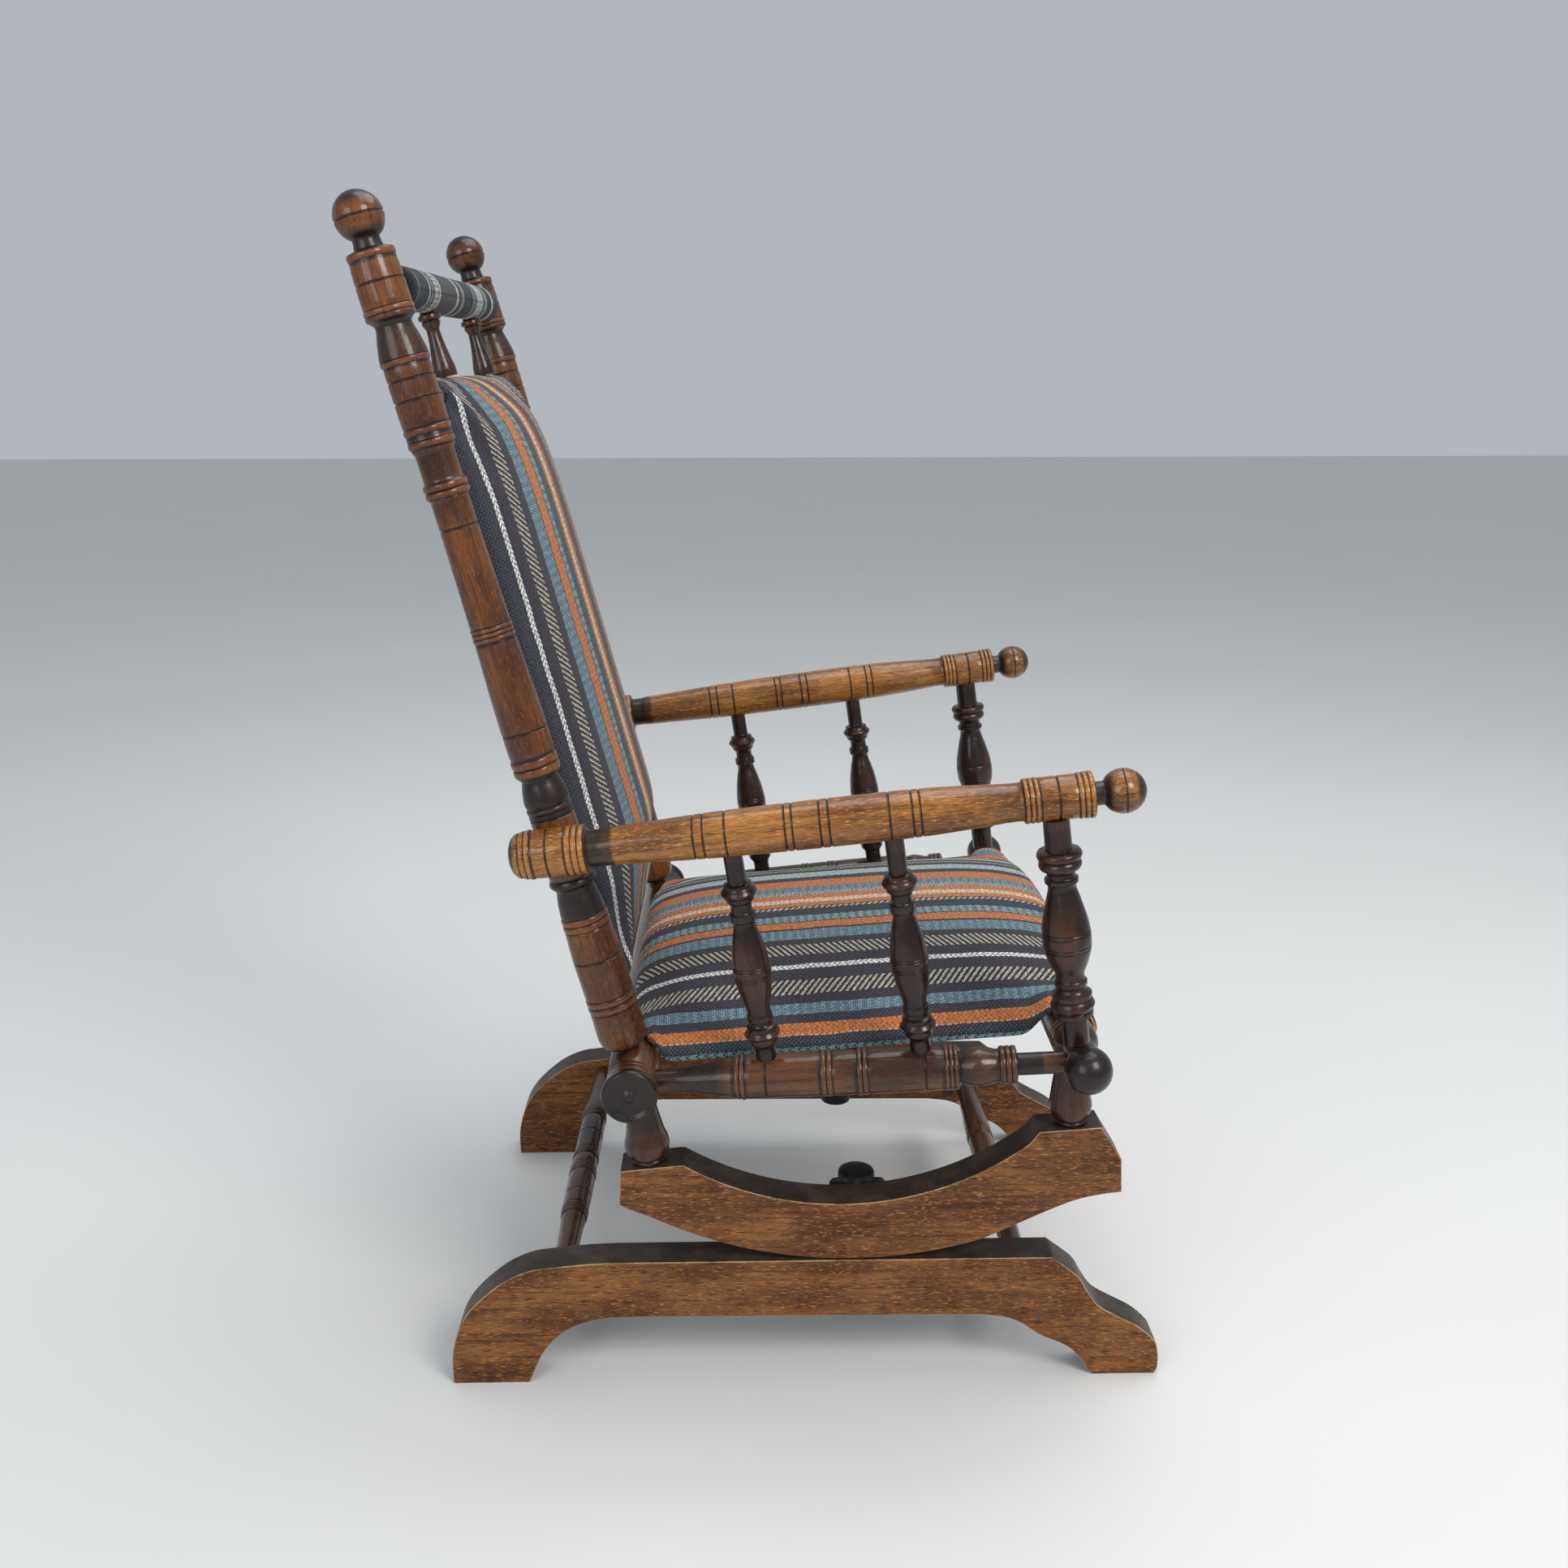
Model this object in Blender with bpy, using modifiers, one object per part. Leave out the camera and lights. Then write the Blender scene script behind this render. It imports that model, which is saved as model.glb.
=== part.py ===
"""A platform rocking chair: a turned wooden chair that rolls on a flat-topped base, held down by two springs.

Metres, +Z up. The chair faces -Y, and +X is the sitter's left. The origin is on the floor, at the
middle of the chair's bounding box. Lengths along a turned piece are measured from its first end.
"""

import math

import bmesh
import bpy
from mathutils import Matrix, Vector

# Every y below is measured from the middle of the base. The chair's own middle lies this far behind it.
ORIGIN_Y = 0.0137
GAP = 0.0003
TURN_STEPS = 10
SCREW_STEPS = 6
CUP_STEPS = 12
OVERSHOOT = 0.004

# Base: two shaped boards on edge, joined by two turned stretchers.
BASE_TOP = 0.1282
BASE_OUTER_X = 0.2337
BASE_THICK = 0.0353
BASE_INNER_X = BASE_OUTER_X - BASE_THICK
TENON_R = 0.0085
TENON_LENGTH = 0.018
STRETCHER_Z = 0.1050

# Rockers: they roll on the base along an arc of this radius.
ROLL_R = 0.400
ROLL_Y = -0.0427
ROLL_BOTTOM = BASE_TOP + GAP
ROLL_CENTRE_Z = ROLL_BOTTOM + ROLL_R
ROCKER_OUTER_X = 0.2317
ROCKER_THICK = 0.0360
ROCKER_INNER_X = ROCKER_OUTER_X - ROCKER_THICK
LEG_X = 0.2140

# Seat frame: a rail across the front, one across the rear, and a turned rail on each side.
REAR_RAIL = Vector((0, 0.1555, 0.3224))
REAR_RAIL_R = 0.0225
REAR_RAIL_END_X = 0.2830
FRONT_RAIL = Vector((0, -0.2385, 0.3525))
FRONT_RAIL_R = 0.0205
FRONT_RAIL_NECK_R = 0.0150
FRONT_BALL_X = 0.2980
FRONT_BALL_R = 0.0207
SIDE_RAIL_REAR = Vector((0.2443, 0.1555, 0.3192))
SIDE_RAIL_FRONT = Vector((0.2711, -0.2385, 0.3480))
CROSS_RAIL_R = 0.0090
CROSS_RAIL_HALF = 0.2340

# Back posts, arms and what stands between them.
POST_X = 0.2245
POST_TOP = Vector((0, 0.3464, 1.0435))
POST_SECTION_R = 0.0195
ARM_REAR = Vector((0.2522, 0.2400, 0.5345))
ARM_FRONT = Vector((0.2748, -0.2594, 0.5943))
FRONT_POST_TOP = Vector((0.2745, -0.2060, 0.5610))
FRONT_POST_FOOT = Vector((0.2720, -0.2330, 0.3640))
REAR_SPINDLE_TOP = Vector((0.2615, 0.0665, 0.5540))
REAR_SPINDLE_FOOT = Vector((0.2525, 0.0330, 0.3260))
MIDDLE_SPINDLE_TOP = Vector((0.2680, -0.0685, 0.5705))
MIDDLE_SPINDLE_FOOT = Vector((0.2610, -0.1020, 0.3340))
HEAD_ROLL = Vector((0, 0.3270, 0.9930))
HEAD_ROLL_R = 0.0170
HEAD_CORE_R = 0.0105
HEAD_ROLL_HALF = 0.2030
PANEL_TOP_RAIL = Vector((0, 0.3073, 0.9072))
PANEL_BOTTOM_RAIL = Vector((0, 0.1730, 0.3930))
PANEL_RAIL_R = 0.0110
PANEL_RAIL_HALF = 0.2010
CREST_X = 0.1000

# Upholstery.
WEB_HALF_X = 0.1840
WEB_THICK = 0.0024
SEAT_HALF_X = 0.2250
SEAT_REAR_Y = 0.1400
SEAT_REAR_BULGE = 0.0150
SEAT_FRONT_Y = -0.2670
SEAT_CROWN = 0.0530
SEAT_EDGE_DROP = 0.0620
SEAT_SKIRT = 0.0200
SEAT_FRONT_Z = 0.3470
BACK_HALF_X = 0.1900
BACK_REAR = -0.0160
BACK_SIDE = 0.0130
BACK_CROWN = 0.0520
BACK_LOWER_EASE = 0.1100

# Springs and their iron brackets.
SPRING_X = 0.1760
SPRING_Y = -0.0500
COIL_R = 0.0130
WIRE_R = 0.0020
COIL_TURNS = 6
POINTS_PER_TURN = 8
CUP_R = 0.0175
CUP_BORE = 0.0156
CUP_HEIGHT = 0.0140
CUP_FLOOR = 0.0030
LOWER_CUP_BASE = 0.0800
UPPER_CUP_TOP = 0.1900
LUG_LENGTH = 0.0540
LUG_HEIGHT = 0.0160
LUG_INNER_X = 0.1912
SCREW_SPREAD = 0.0210
SCREW_HEAD_R = 0.0042
SCREW_R = 0.0020
SCREW_LENGTH = 0.0160

SIDES = (("right", -1), ("left", 1))

parts = None
cutters = None
groups = {}
materials = {}


# ---------------------------------------------------------------- scene and helpers


def clear_scene():
    for obj in list(bpy.data.objects):
        bpy.data.objects.remove(obj, do_unlink=True)


def make_material(name, colour, roughness, metallic=0.0):
    material = bpy.data.materials.new(name)
    material.use_nodes = True
    shader = material.node_tree.nodes["Principled BSDF"]
    shader.inputs["Base Color"].default_value = (*colour, 1.0)
    shader.inputs["Roughness"].default_value = roughness
    shader.inputs["Metallic"].default_value = metallic
    materials[name] = material


def add_group(name, position, parent=None):
    """An empty that a rigid group of pieces hangs on, placed on the axis that the group turns about."""
    empty = bpy.data.objects.new(name, None)
    empty.empty_display_size = 0.05
    parts.objects.link(empty)
    empty.parent = parent
    empty.location = position
    groups[name] = empty


def place(obj, group, position, rotation=None):
    """Hangs an object on a group, at a position given in the chair's frame."""
    obj.parent = groups[group]
    obj.location = Vector(position) - groups[group].location
    if rotation is not None:
        obj.rotation_mode = "QUATERNION"
        obj.rotation_quaternion = rotation


def add_mesh(name, mesh, material, collection=None):
    obj = bpy.data.objects.new(name, mesh)
    (collection or parts).objects.link(obj)
    if material:
        mesh.materials.append(materials[material])
    return obj


def hide_cutter(obj):
    obj.hide_render = True
    obj.display_type = "WIRE"


def mirrored(point, side):
    return Vector((point.x * side, point.y, point.z))


def along(first, last, distance):
    return first + (last - first).normalized() * distance


def turned(name, profile, first, last, material, group, collection=None, steps=TURN_STEPS):
    """A lathe-turned solid. The profile is (distance from first towards last, radius), from 0 radius to 0."""
    mesh = bpy.data.meshes.new(name)
    points = [(radius, 0, -distance) for distance, radius in profile]
    mesh.from_pydata(points, [(i, i + 1) for i in range(len(points) - 1)], [])
    obj = add_mesh(name, mesh, material, collection)
    screw = obj.modifiers.new("Turn", "SCREW")
    screw.axis = "Z"
    screw.angle = math.tau
    screw.steps = steps
    screw.render_steps = steps
    screw.use_merge_vertices = True
    screw.merge_threshold = 0.00001
    place(obj, group, first, (first - last).to_track_quat("Z", "Y"))
    return obj


def cut(host, cutter, operation="DIFFERENCE"):
    boolean = host.modifiers.new(cutter.name, "BOOLEAN")
    boolean.operation = operation
    boolean.object = cutter


def socket(host, first, last, start, end, radius, group="rocking_frame", steps=TURN_STEPS):
    """Drills the hole that a round tenon fills, clear of it all round, from start to end along its own axis."""
    name = f"cut_{host.name}_{len(cutters.objects)}"
    wide = radius + GAP
    profile = [(start, 0), (start, wide), (end, wide), (end, 0)]
    cutter = turned(name, profile, first, last, None, group, cutters, steps)
    hide_cutter(cutter)
    cut(host, cutter)


def ball(centre, radius, start_angle, end_angle, spans):
    """Profile points round a ball, with angles in degrees from the end nearest the first end of the piece."""
    points = []
    for i in range(spans + 1):
        angle = math.radians(start_angle + (end_angle - start_angle) * i / spans)
        points.append((centre - radius * math.cos(angle), radius * math.sin(angle)))
    return points


def arc(centre_y, centre_z, radius, start_angle, end_angle, spans):
    """Outline points round an arc, with angles in degrees from straight down, positive towards the rear."""
    points = []
    for i in range(spans + 1):
        angle = math.radians(start_angle + (end_angle - start_angle) * i / spans)
        points.append((centre_y + radius * math.sin(angle), centre_z - radius * math.cos(angle)))
    return points


def smooth_run(points, per_span=3):
    """A Catmull-Rom curve through the points, which keeps them all."""
    run = []
    for i in range(len(points) - 1):
        before = points[max(i - 1, 0)]
        start, end = points[i], points[i + 1]
        after = points[min(i + 2, len(points) - 1)]
        for k in range(per_span):
            t = k / per_span
            weights = (
                (-t**3 + 2 * t**2 - t) / 2,
                (3 * t**3 - 5 * t**2 + 2) / 2,
                (-3 * t**3 + 4 * t**2 + t) / 2,
                (t**3 - t**2) / 2,
            )
            spots = (before, start, end, after)
            run.append(tuple(sum(w * s[axis] for w, s in zip(weights, spots)) for axis in (0, 1)))
    run.append(points[-1])
    return run


def board(name, outline, thickness, centre_x, material, group):
    """A flat board standing in a plane of constant x, from its outline in y and z."""
    flat = bpy.data.curves.new(name + "_outline", "CURVE")
    flat.dimensions = "2D"
    flat.fill_mode = "BOTH"
    flat.extrude = thickness / 2
    spline = flat.splines.new("POLY")
    spline.points.add(len(outline) - 1)
    for point, (y, z) in zip(spline.points, outline):
        point.co = (y, z, 0, 1)
    spline.use_cyclic_u = True
    drawn = bpy.data.objects.new(name + "_outline", flat)
    parts.objects.link(drawn)
    evaluated = drawn.evaluated_get(bpy.context.evaluated_depsgraph_get())
    mesh = bpy.data.meshes.new_from_object(evaluated)
    bpy.data.objects.remove(drawn)
    shape = bmesh.new()
    shape.from_mesh(mesh)
    bmesh.ops.remove_doubles(shape, verts=shape.verts, dist=0.00001)
    shape.to_mesh(mesh)
    shape.free()
    mesh.name = name
    obj = add_mesh(name, mesh, material)
    on_edge = Matrix(((0, 0, 1), (1, 0, 0), (0, 1, 0))).to_quaternion()
    place(obj, group, (centre_x, 0, 0), on_edge)
    return obj


def block(name, centre, size, material, group, collection=None):
    shape = bmesh.new()
    bmesh.ops.create_cube(shape, size=1.0, matrix=Matrix.Diagonal((*size, 1.0)))
    mesh = bpy.data.meshes.new(name)
    shape.to_mesh(mesh)
    shape.free()
    obj = add_mesh(name, mesh, material, collection)
    place(obj, group, centre)
    return obj


def padded_block(name, cuts, shape_point, material, group):
    """A soft solid: a cube cut into a grid, each of whose points shape_point(u, v, w) puts in its place."""
    shape = bmesh.new()
    bmesh.ops.create_cube(shape, size=2.0)
    bmesh.ops.subdivide_edges(shape, edges=shape.edges, cuts=cuts, use_grid_fill=True)
    for vert in shape.verts:
        vert.co = Vector(shape_point(*vert.co)) - groups[group].location
    bmesh.ops.recalc_face_normals(shape, faces=shape.faces)
    mesh = bpy.data.meshes.new(name)
    shape.to_mesh(mesh)
    shape.free()
    mesh.shade_smooth()
    obj = add_mesh(name, mesh, material)
    obj.parent = groups[group]
    return obj


# ---------------------------------------------------------------- base


def base_outline():
    front_toe = [
        (-0.2306, BASE_TOP), (-0.2489, 0.1139), (-0.2575, 0.1058), (-0.2653, 0.0922), (-0.2768, 0.0758),
        (-0.2940, 0.0648), (-0.3161, 0.0521), (-0.3312, 0.0382), (-0.3361, 0.0285), (-0.3379, 0.0091),
        (-0.3347, 0.0),
    ]
    arch = [
        (-0.2750, 0.0), (-0.2687, 0.0075), (-0.2608, 0.0201), (-0.2470, 0.0327), (-0.2228, 0.0441),
        (-0.2057, 0.0567), (-0.1900, 0.0637), (-0.0054, 0.0688), (0.1444, 0.0699), (0.1788, 0.0696),
        (0.2003, 0.0667), (0.2196, 0.0597), (0.2352, 0.0482), (0.2473, 0.0337), (0.2535, 0.0220),
        (0.2629, 0.0),
    ]
    heel = [
        (0.3349, 0.0), (0.3336, 0.0351), (0.3198, 0.0731), (0.2892, 0.1045), (0.2609, 0.1198),
        (0.2332, 0.1244), (0.2044, BASE_TOP - 0.0010),
    ]
    return smooth_run(front_toe, 2) + smooth_run(arch, 2) + smooth_run(heel, 2) + [(0.1800, BASE_TOP)]


def make_base():
    outline = base_outline()
    sides = {}
    for word, side in SIDES:
        centre_x = side * (BASE_OUTER_X - BASE_THICK / 2)
        sides[word] = board(f"base_side_{word}", outline, BASE_THICK, centre_x, "base_wood", "base")
    rear_profile = [
        (0, 0), (0, TENON_R), (TENON_LENGTH, TENON_R), (TENON_LENGTH + GAP, 0.0105),
        (0.075, 0.0115), (0.095, 0.0135), (0.108, 0.0125), (0.150, 0.0140), (0.158, 0.0125),
    ]
    front_profile = [
        (0, 0), (0, TENON_R), (TENON_LENGTH, TENON_R), (TENON_LENGTH + GAP, 0.0105),
        (0.110, 0.0125), (0.150, 0.0140),
    ]
    for name, profile, y, z in (
        ("base_stretcher_rear", rear_profile, 0.2300, STRETCHER_Z),
        ("base_stretcher_front", front_profile, -0.2030, STRETCHER_Z),
    ):
        half = BASE_INNER_X + TENON_LENGTH
        first = Vector((-half, y, z))
        last = Vector((half, y, z))
        both = profile + [(2 * half - distance, radius) for distance, radius in reversed(profile)]
        turned(name, both, first, last, "dark_wood", "base")
        for word, side in SIDES:
            start, end = (-GAP, TENON_LENGTH + OVERSHOOT)
            if side > 0:
                start, end = 2 * half - end, 2 * half - start
            socket(sides[word], first, last, start, end, TENON_R, "base")
    return sides


# ---------------------------------------------------------------- rockers and short legs


def rocker_outline():
    rolling = arc(ROLL_Y, ROLL_CENTRE_Z, ROLL_R, -18, 27.5, 22)
    rear_end = [(0.1636, 0.1829), (0.1722, 0.1879), (0.1701, 0.2222)]
    dip = arc(-0.0336, 0.4615, 0.2755, 31.9, -38.5, 16)
    front_top = [(-0.2136, 0.2574), (-0.2704, 0.2614), (-0.2906, 0.2277)]
    front_tip = [(-0.2926, 0.1947), (-0.2755, 0.1927), (-0.2549, 0.1883), (-0.2322, 0.1796), (-0.1868, 0.1580)]
    return rear_end + [flat_point(0.1160)] + dip + front_top + smooth_run(front_tip, 2) + rolling


def flat_point(y):
    """A point on the level stretch that the rear leg stands on."""
    slope = (0.2277 - 0.2222) / (0.1160 - 0.1701)
    return (y, 0.2222 + slope * (y - 0.1701))


def make_rockers():
    outline = rocker_outline()
    rockers = {}
    for word, side in SIDES:
        centre_x = side * (ROCKER_OUTER_X - ROCKER_THICK / 2)
        rockers[word] = board(f"rocker_{word}", outline, ROCKER_THICK, centre_x, "base_wood", "rocking_frame")
    return rockers


def make_legs(rockers, rear_rail, front_rail):
    """Each leg is turned, with a round tenon up into its rail and another down into its rocker."""
    tenon_r, tenon = 0.0075, 0.0110
    for place_name, rail, rail_r, host, foot, wide, bottom_r in (
        ("rear", REAR_RAIL, REAR_RAIL_R, rear_rail, (0.1444, 0.2249), 0.0210, 0.0150),
        ("front", FRONT_RAIL, FRONT_RAIL_R, front_rail, (-0.2454, 0.2597), 0.0197, 0.0143),
    ):
        for word, side in SIDES:
            first = Vector((side * LEG_X, rail.y, rail.z))
            last = Vector((side * LEG_X, *foot))
            length = (first - last).length
            top, shoulder, floor = 0.0105, rail_r + 2 * GAP, length - GAP
            profile = [
                (top, 0), (top, tenon_r), (shoulder, tenon_r), (shoulder, 0.0120), (shoulder + 0.012, 0.0128),
                (length - 0.030, 0.0180), (length - 0.015, wide), (length - 0.006, bottom_r + 0.002),
                (length - 0.004, bottom_r), (floor, bottom_r), (floor, tenon_r), (floor + tenon, tenon_r),
                (floor + tenon, 0),
            ]
            name = f"leg_{place_name}_{word}"
            turned(name, profile, first, last, "dark_wood", "rocking_frame")
            socket(host, first, last, top - GAP, shoulder + OVERSHOOT, tenon_r)
            socket(rockers[word], first, last, floor - OVERSHOOT, floor + tenon + GAP, tenon_r)


# ---------------------------------------------------------------- seat frame


def make_rear_rail():
    half_profile = [
        (0.0010, 0), (0.0010, 0.0040), (0.0032, 0.0060), (0.0032, 0.0165), (0.0, 0.0215), (0.0015, 0.0242),
        (0.0045, 0.0248), (0.0090, 0.0242), (0.0115, 0.0215), (0.0160, REAR_RAIL_R), (0.1200, REAR_RAIL_R),
    ]
    return across("seat_rail_rear", half_profile, REAR_RAIL, REAR_RAIL_END_X, "rail_wood", "rocking_frame")


def make_front_rail():
    end_x = FRONT_BALL_X + FRONT_BALL_R
    half_profile = ball(FRONT_BALL_R, FRONT_BALL_R, 0, 130, 6) + [
        (0.0400, FRONT_RAIL_NECK_R), (0.0640, FRONT_RAIL_NECK_R), (0.0700, 0.0195), (0.0760, FRONT_RAIL_R),
        (0.1400, FRONT_RAIL_R),
    ]
    return across("seat_rail_front", half_profile, FRONT_RAIL, end_x, "rail_wood", "rocking_frame")


def across(name, half_profile, centre, half_length, material, group):
    """A turned piece that lies along x and is the same at both ends."""
    first = centre - Vector((half_length, 0, 0))
    last = centre + Vector((half_length, 0, 0))
    far_half = [(2 * half_length - distance, radius) for distance, radius in reversed(half_profile)]
    return turned(name, half_profile + far_half, first, last, material, group)


def make_side_rails(rear_rail, front_rail):
    length = (SIDE_RAIL_REAR - SIDE_RAIL_FRONT).length
    rear_depth, front_depth = 0.0125, 0.0102
    profile = [
        (rear_depth, 0), (rear_depth, 0.0100), (0.0400, 0.0115), (0.0850, 0.0170), (0.0921, 0.0190),
        (0.0968, 0.0201), (0.1015, 0.0198), (0.1200, 0.0196), (0.1689, 0.0198), (0.1781, 0.0200),
        (0.2010, 0.0200), (0.2090, 0.0200), (0.2600, 0.0196), (0.2770, 0.0192), (0.2884, 0.0190),
        (0.2905, 0.0142), (0.3061, 0.0178), (0.3231, 0.0142), (0.3245, 0.0163), (0.3394, 0.0160),
        (0.3410, 0.0097), (length - front_depth, 0.0097), (length - front_depth, 0),
    ]
    rails = {}
    for word, side in SIDES:
        first = mirrored(SIDE_RAIL_REAR, side)
        last = mirrored(SIDE_RAIL_FRONT, side)
        rails[word] = turned(f"seat_rail_{word}", profile, first, last, "rail_wood", "rocking_frame")
        socket(rear_rail, first, last, rear_depth - GAP, 0.034, 0.0108)
        socket(front_rail, first, last, length - 0.030, length - front_depth + GAP, 0.0097)
    return rails


def make_cross_rail():
    centre = Vector((0, ROLL_Y, ROLL_BOTTOM + ROLL_R / 2))
    half_profile = [(0, 0), (0, CROSS_RAIL_R - 0.001), (0.001, CROSS_RAIL_R)]
    across("seat_cross_rail", half_profile, centre, CROSS_RAIL_HALF, "dark_wood", "rolling_link")


# ---------------------------------------------------------------- back


POST_PROFILE = [
    (0.0185, 0.0109), (0.0240, 0.0120), (0.0264, 0.0194), (0.0317, 0.0188), (0.0497, 0.0196), (0.0744, 0.0200),
    (0.0765, 0.0195), (0.0818, 0.0147), (0.1080, 0.0200), (0.1125, 0.0186), (0.1411, 0.0190), (0.1753, 0.0188),
    (0.1845, 0.0160), (0.2060, 0.0162), (0.2076, 0.0180), (0.2193, 0.0180), (0.2215, 0.0158), (0.3270, 0.0172),
    (0.3281, 0.0180), (0.3404, 0.0180), (0.3415, 0.0174), (0.4209, 0.0196), (0.4570, 0.0197), (0.4628, 0.0160),
    (0.4832, 0.0198), (0.4902, 0.0201), (0.4981, POST_SECTION_R), (0.5540, POST_SECTION_R), (0.5588, 0.0204),
    (0.5653, 0.0170), (0.5895, 0.0202), (0.5916, 0.0206), (0.6017, 0.0206), (0.6322, 0.0218), (0.6814, 0.0216),
    (0.7060, 0.0222), (0.7185, 0.0168),
]


def make_back_posts(rear_rail):
    posts = {}
    for word, side in SIDES:
        first = POST_TOP + Vector((side * POST_X, 0, 0))
        last = REAR_RAIL + Vector((side * POST_X, 0, 0))
        length = (first - last).length
        shoulder, end = length - REAR_RAIL_R - 2 * GAP, length - 0.0125
        tenon_r = 0.0100
        profile = ball(0, 0.0199, 0, 146, 6) + POST_PROFILE
        profile += [(shoulder, 0.0105), (shoulder, tenon_r), (end, tenon_r), (end, 0)]
        posts[word] = turned(f"back_post_{word}", profile, first, last, "post_wood", "rocking_frame")
        socket(rear_rail, first, last, shoulder - OVERSHOOT, end + GAP, tenon_r)
    return posts


def between_posts(name, centre, radius, half, tenon_r, posts, material):
    """A plain turned rail between the back posts, with a tenon in each."""
    tenon_end = POST_X - 0.0110
    shoulder = tenon_end - half
    half_profile = [(0, 0), (0, tenon_r), (shoulder, tenon_r), (shoulder, radius)]
    rail = across(name, half_profile, centre, tenon_end, material, "rocking_frame")
    first = centre - Vector((tenon_end, 0, 0))
    last = centre + Vector((tenon_end, 0, 0))
    for word, side in SIDES:
        start, end = (-GAP, shoulder + OVERSHOOT)
        if side > 0:
            start, end = 2 * tenon_end - end, 2 * tenon_end - start
        socket(posts[word], first, last, start, end, tenon_r)
    return rail


def make_head_roll(posts):
    core = between_posts("head_roll_core", HEAD_ROLL, HEAD_CORE_R, HEAD_ROLL_HALF, 0.0080, posts, "dark_wood")
    first = HEAD_ROLL - Vector((HEAD_ROLL_HALF, 0, 0))
    last = HEAD_ROLL + Vector((HEAD_ROLL_HALF, 0, 0))
    inner = HEAD_CORE_R + GAP
    length = 2 * HEAD_ROLL_HALF
    profile = [
        (GAP, inner), (GAP, 0.0155), (0.004, HEAD_ROLL_R), (length - 0.004, HEAD_ROLL_R),
        (length - GAP, 0.0155), (length - GAP, inner), (GAP, inner),
    ]
    cover = turned("head_roll_cover", profile, first, last, "fabric", "rocking_frame")
    return core, cover


def make_crest_spindles(core, cover, top_rail, pad):
    """Two small turned spindles between the head roll and the top of the back panel."""
    tenon_r, tenon, foot_r = 0.0038, 0.0060, 0.0105
    for word, side in SIDES:
        first = HEAD_ROLL + Vector((side * CREST_X, 0, 0))
        last = PANEL_TOP_RAIL + Vector((side * CREST_X, 0, 0))
        length = (first - last).length
        top, collar = HEAD_CORE_R - tenon, HEAD_ROLL_R + 0.0010
        foot, end = length - PANEL_RAIL_R - 0.0120, length - PANEL_RAIL_R + tenon
        profile = [
            (top, 0), (top, tenon_r), (collar, tenon_r), (collar, 0.0085), (collar + 0.003, 0.0100),
            (collar + 0.008, 0.0085), (collar + 0.014, 0.0058), (foot - 0.012, 0.0085), (foot, foot_r),
            (foot, tenon_r), (end, tenon_r), (end, 0),
        ]
        turned(f"crest_spindle_{word}", profile, first, last, "dark_wood", "rocking_frame")
        for host in (core, cover):
            socket(host, first, last, top - GAP, collar + OVERSHOOT, tenon_r)
        for host in (top_rail, pad):
            socket(host, first, last, foot - 2 * OVERSHOOT, end + GAP, tenon_r)
        socket(pad, first, last, foot - 4 * OVERSHOOT, foot + 0.0008, foot_r)


def make_back_pad():
    """The upholstered panel. Its length runs up the posts' lean and its crown faces the sitter."""
    up = (PANEL_TOP_RAIL - PANEL_BOTTOM_RAIL).normalized()
    front = Vector((0, -up.z, up.y))
    low, high = -0.0150, (PANEL_TOP_RAIL - PANEL_BOTTOM_RAIL).length + 0.0200

    def shape_point(u, v, w):
        width_share = math.sin(u * math.pi / 2)
        x = BACK_HALF_X * width_share
        rise = low + (high - low) * (0.5 + 0.5 * math.sin(v * math.pi / 2))
        risen = min(max(rise / BACK_LOWER_EASE, 0), 1)
        length_share = 1 - v**7 if v > 0 else risen**2 * (3 - 2 * risen)
        fullness = (1 - width_share**2) * length_share
        crown = BACK_SIDE + (BACK_CROWN - BACK_SIDE) * fullness
        depth = crown if w > 0 else BACK_REAR
        share = abs(w)
        middle = 0.5 * (crown + BACK_REAR)
        ease = 1 - 0.06 * abs(w) ** 3
        return PANEL_BOTTOM_RAIL + Vector((x * ease, 0, 0)) + up * rise + front * (middle + (depth - middle) * share)

    pad = padded_block("back_pad", 5, shape_point, "fabric", "rocking_frame")
    for rail in (PANEL_TOP_RAIL, PANEL_BOTTOM_RAIL):
        tenon_end = POST_X - 0.0110
        first = rail - Vector((tenon_end, 0, 0))
        last = rail + Vector((tenon_end, 0, 0))
        socket(pad, first, last, -OVERSHOOT, 2 * tenon_end + OVERSHOOT, PANEL_RAIL_R)
    return pad


# ---------------------------------------------------------------- arms


def make_arms(posts):
    length = (ARM_REAR - ARM_FRONT).length
    profile = [
        (-0.0124, 0), (-0.0110, 0.0100), (-0.0066, 0.0178), (0.0080, 0.0211), (0.0538, 0.0209), (0.0558, 0.0154),
        (0.0654, 0.0154), (0.1070, 0.0174), (0.1540, 0.0194), (0.2287, 0.0204), (0.3096, 0.0204), (0.3353, 0.0200),
        (0.3799, 0.0182), (0.4150, 0.0161), (0.4204, 0.0187), (0.4492, 0.0186), (0.4780, 0.0194), (0.4794, 0.0101),
        (0.4860, 0.0101),
    ] + ball(length, 0.0191, 28, 180, 6)
    arms = {}
    for word, side in SIDES:
        first = mirrored(ARM_REAR, side)
        last = mirrored(ARM_FRONT, side)
        arms[word] = turned(f"arm_{word}", profile, first, last, "arm_wood", "rocking_frame")
        post_first = POST_TOP + Vector((side * POST_X, 0, 0))
        post_last = REAR_RAIL + Vector((side * POST_X, 0, 0))
        socket(arms[word], post_first, post_last, 0.4800, 0.5700, POST_SECTION_R)
        make_arm_screw(word, side, arms[word], posts[word])
    return arms


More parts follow.
